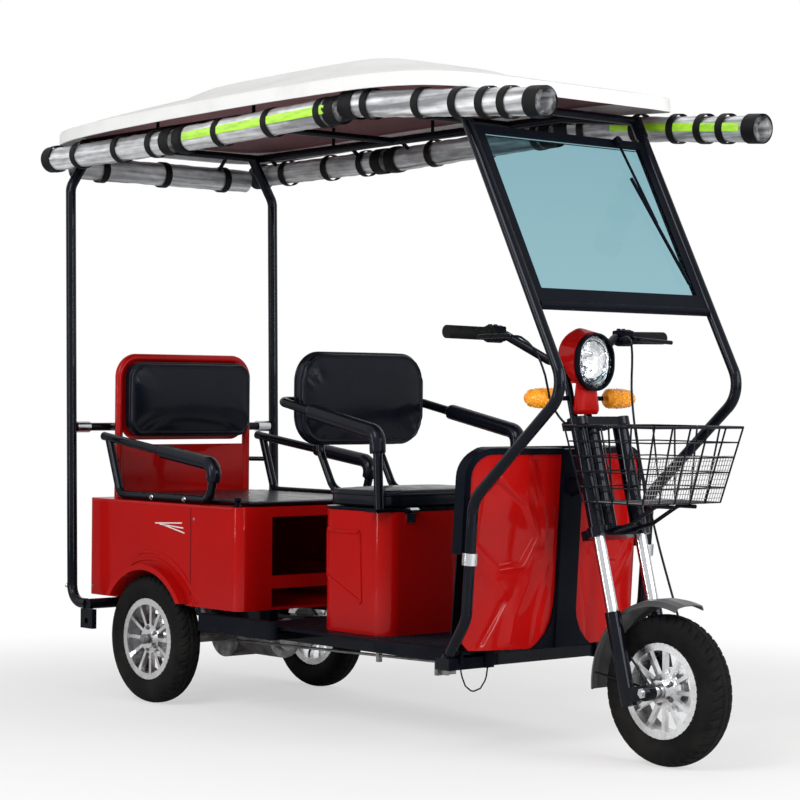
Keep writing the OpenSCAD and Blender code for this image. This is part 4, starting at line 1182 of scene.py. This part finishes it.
def runCable(name, look, body, finish="frame_black"):
    line = smoothRoute([at(*p) for p in look["route"]], 0.03)
    line = evenSteps(line, 0.012)
    piece = dress(name, tubeParts(line, look["diameter"] / 2, 10), finish, body)


runCable("frontBrakeCable", cableLook, "steering")
rightCableLook = {"diameter": 0.006, "route": [(1352, -196, 1046), (1385, -196, 1044), (1425, -184, 1010),
    (1440, -164, 950), (1430, -136, 890), (1430, -108, 850), (1450, -88, 820)]}
runCable("rightLeverCable", rightCableLook, "steering")
loopLook = {"diameter": 0.004, "route": [(1180, -200, 215), (1184, -200, 190), (1204, -203, 160), (1232, -205, 148),
    (1260, -203, 160), (1279, -200, 190), (1282, -200, 215)]}
runCable("floorCableLoop", loopLook, "chassis")
print("cable run")

# ribbed mat on the floor
matLook = {"ribs": 26, "height": 0.0024, "width": 0.009, "half": 270, "ends": (946, 1240), "floor": 263.2}
ribParts = []
for k in range(matLook["ribs"]):
    y = matLook["half"] * (2 * k / (matLook["ribs"] - 1) - 1)
    h, w = matLook["height"], matLook["width"] / 2
    ring = [(-w, 0.0), (-w * 0.7, h), (w * 0.7, h), (w, 0.0)]
    spots = [at(x, y, matLook["floor"]) for x in matLook["ends"]]
    ribParts.append(([p + Vector((0, dy, dz)) for p in spots for dy, dz in ring],
        [(0, 1, 5, 4), (1, 2, 6, 5), (2, 3, 7, 6), (0, 1, 2, 3), (4, 5, 6, 7), (0, 3, 7, 4)]))
dress("floorMatRibs", joinParts(ribParts), "black_plastic", "chassis")
print("floor ribbed")


# pale floor, soft lights and a white surround
stageLook = {"floor": 14.0, "world": 0.22, "key": 145, "fill": 130, "top": 36, "strip": 46}


def makeStage(look):
    s = look["floor"]
    floorMesh = plainMesh("studioFloor", [(-s, -s, 0), (s, -s, 0), (s, s, 0), (-s, s, 0)], [(0, 1, 2, 3)])
    floor = bpy.data.objects.new("studioFloor", floorMesh)
    scene.collection.objects.link(floor)
    f = surfaceFinish("paleFloor", {"Roughness": 0.9, "Specular IOR Level": 0.1})
    f.look(f.blend(f.noise(3, 3), (0.86, 0.86, 0.86), (0.82, 0.82, 0.82)))
    glow = f.node("ShaderNodeEmission")
    kinds = ("Is Camera Ray", "Is Transmission Ray")
    camera, through = (f.node("ShaderNodeLightPath", output=kind) for kind in kinds)
    seen = camera.maths("MAXIMUM", camera, through)
    x, y = f.axis("X"), f.axis("Y")
    away = f.span(x * x + y * y, 0.4, 7.0, 0.55, 1.0)
    mix = f.node("ShaderNodeMixShader", None, {0: seen * away, 1: shadeValue(f, f.shader.outputs[0]), 2: glow})
    f.feed(f.tree.nodes["Material Output"].inputs["Surface"], mix)
    floorMesh.materials.append(f.material)

    world = bpy.data.worlds.new("studioWorld")
    scene.world = world
    world.use_nodes = True
    sky = shadeTree(world.node_tree)
    lit = sky.node("ShaderNodeBackground", None, {"Color": (1, 1, 1), "Strength": look["world"]})
    shown = sky.node("ShaderNodeBackground", None, {"Color": (1, 1, 1), "Strength": 1.0})
    seen = sky.node("ShaderNodeLightPath", output="Is Camera Ray")
    for kind in ("Is Glossy Ray", "Is Transmission Ray"):
        seen = seen.maths("MAXIMUM", seen, sky.node("ShaderNodeLightPath", output=kind))
    mix = sky.node("ShaderNodeMixShader", None, {0: seen, 1: lit, 2: shown})
    sky.feed(sky.tree.nodes["World Output"].inputs["Surface"], mix)

    lights = (("keyLight", (1.6, -4.2, 3.6), (2.4, 2.4), look["key"]),
        ("fillLight", (5.0, 1.4, 2.4), (2.4, 2.4), look["fill"]),
        ("topLight", (-0.6, 0.8, 5.2), (3.0, 3.0), look["top"]),
        ("frontStrip", (4.4, -0.5, 1.3), (0.35, 2.2), look["strip"]),
        ("sideStrip", (-1.2, -4.4, 1.3), (0.35, 2.2), look["strip"]))
    aim = Vector((0, 0, 0.7))
    for name, place, size, power in lights:
        data = bpy.data.lights.new(name, "AREA")
        data.shape, data.energy, (data.size, data.size_y) = "RECTANGLE", power, size
        light = bpy.data.objects.new(name, data)
        light.location = place
        light.rotation_euler = (aim - Vector(place)).to_track_quat("-Z", "Y").to_euler()
        scene.collection.objects.link(light)


makeStage(stageLook)
print("stage lit")
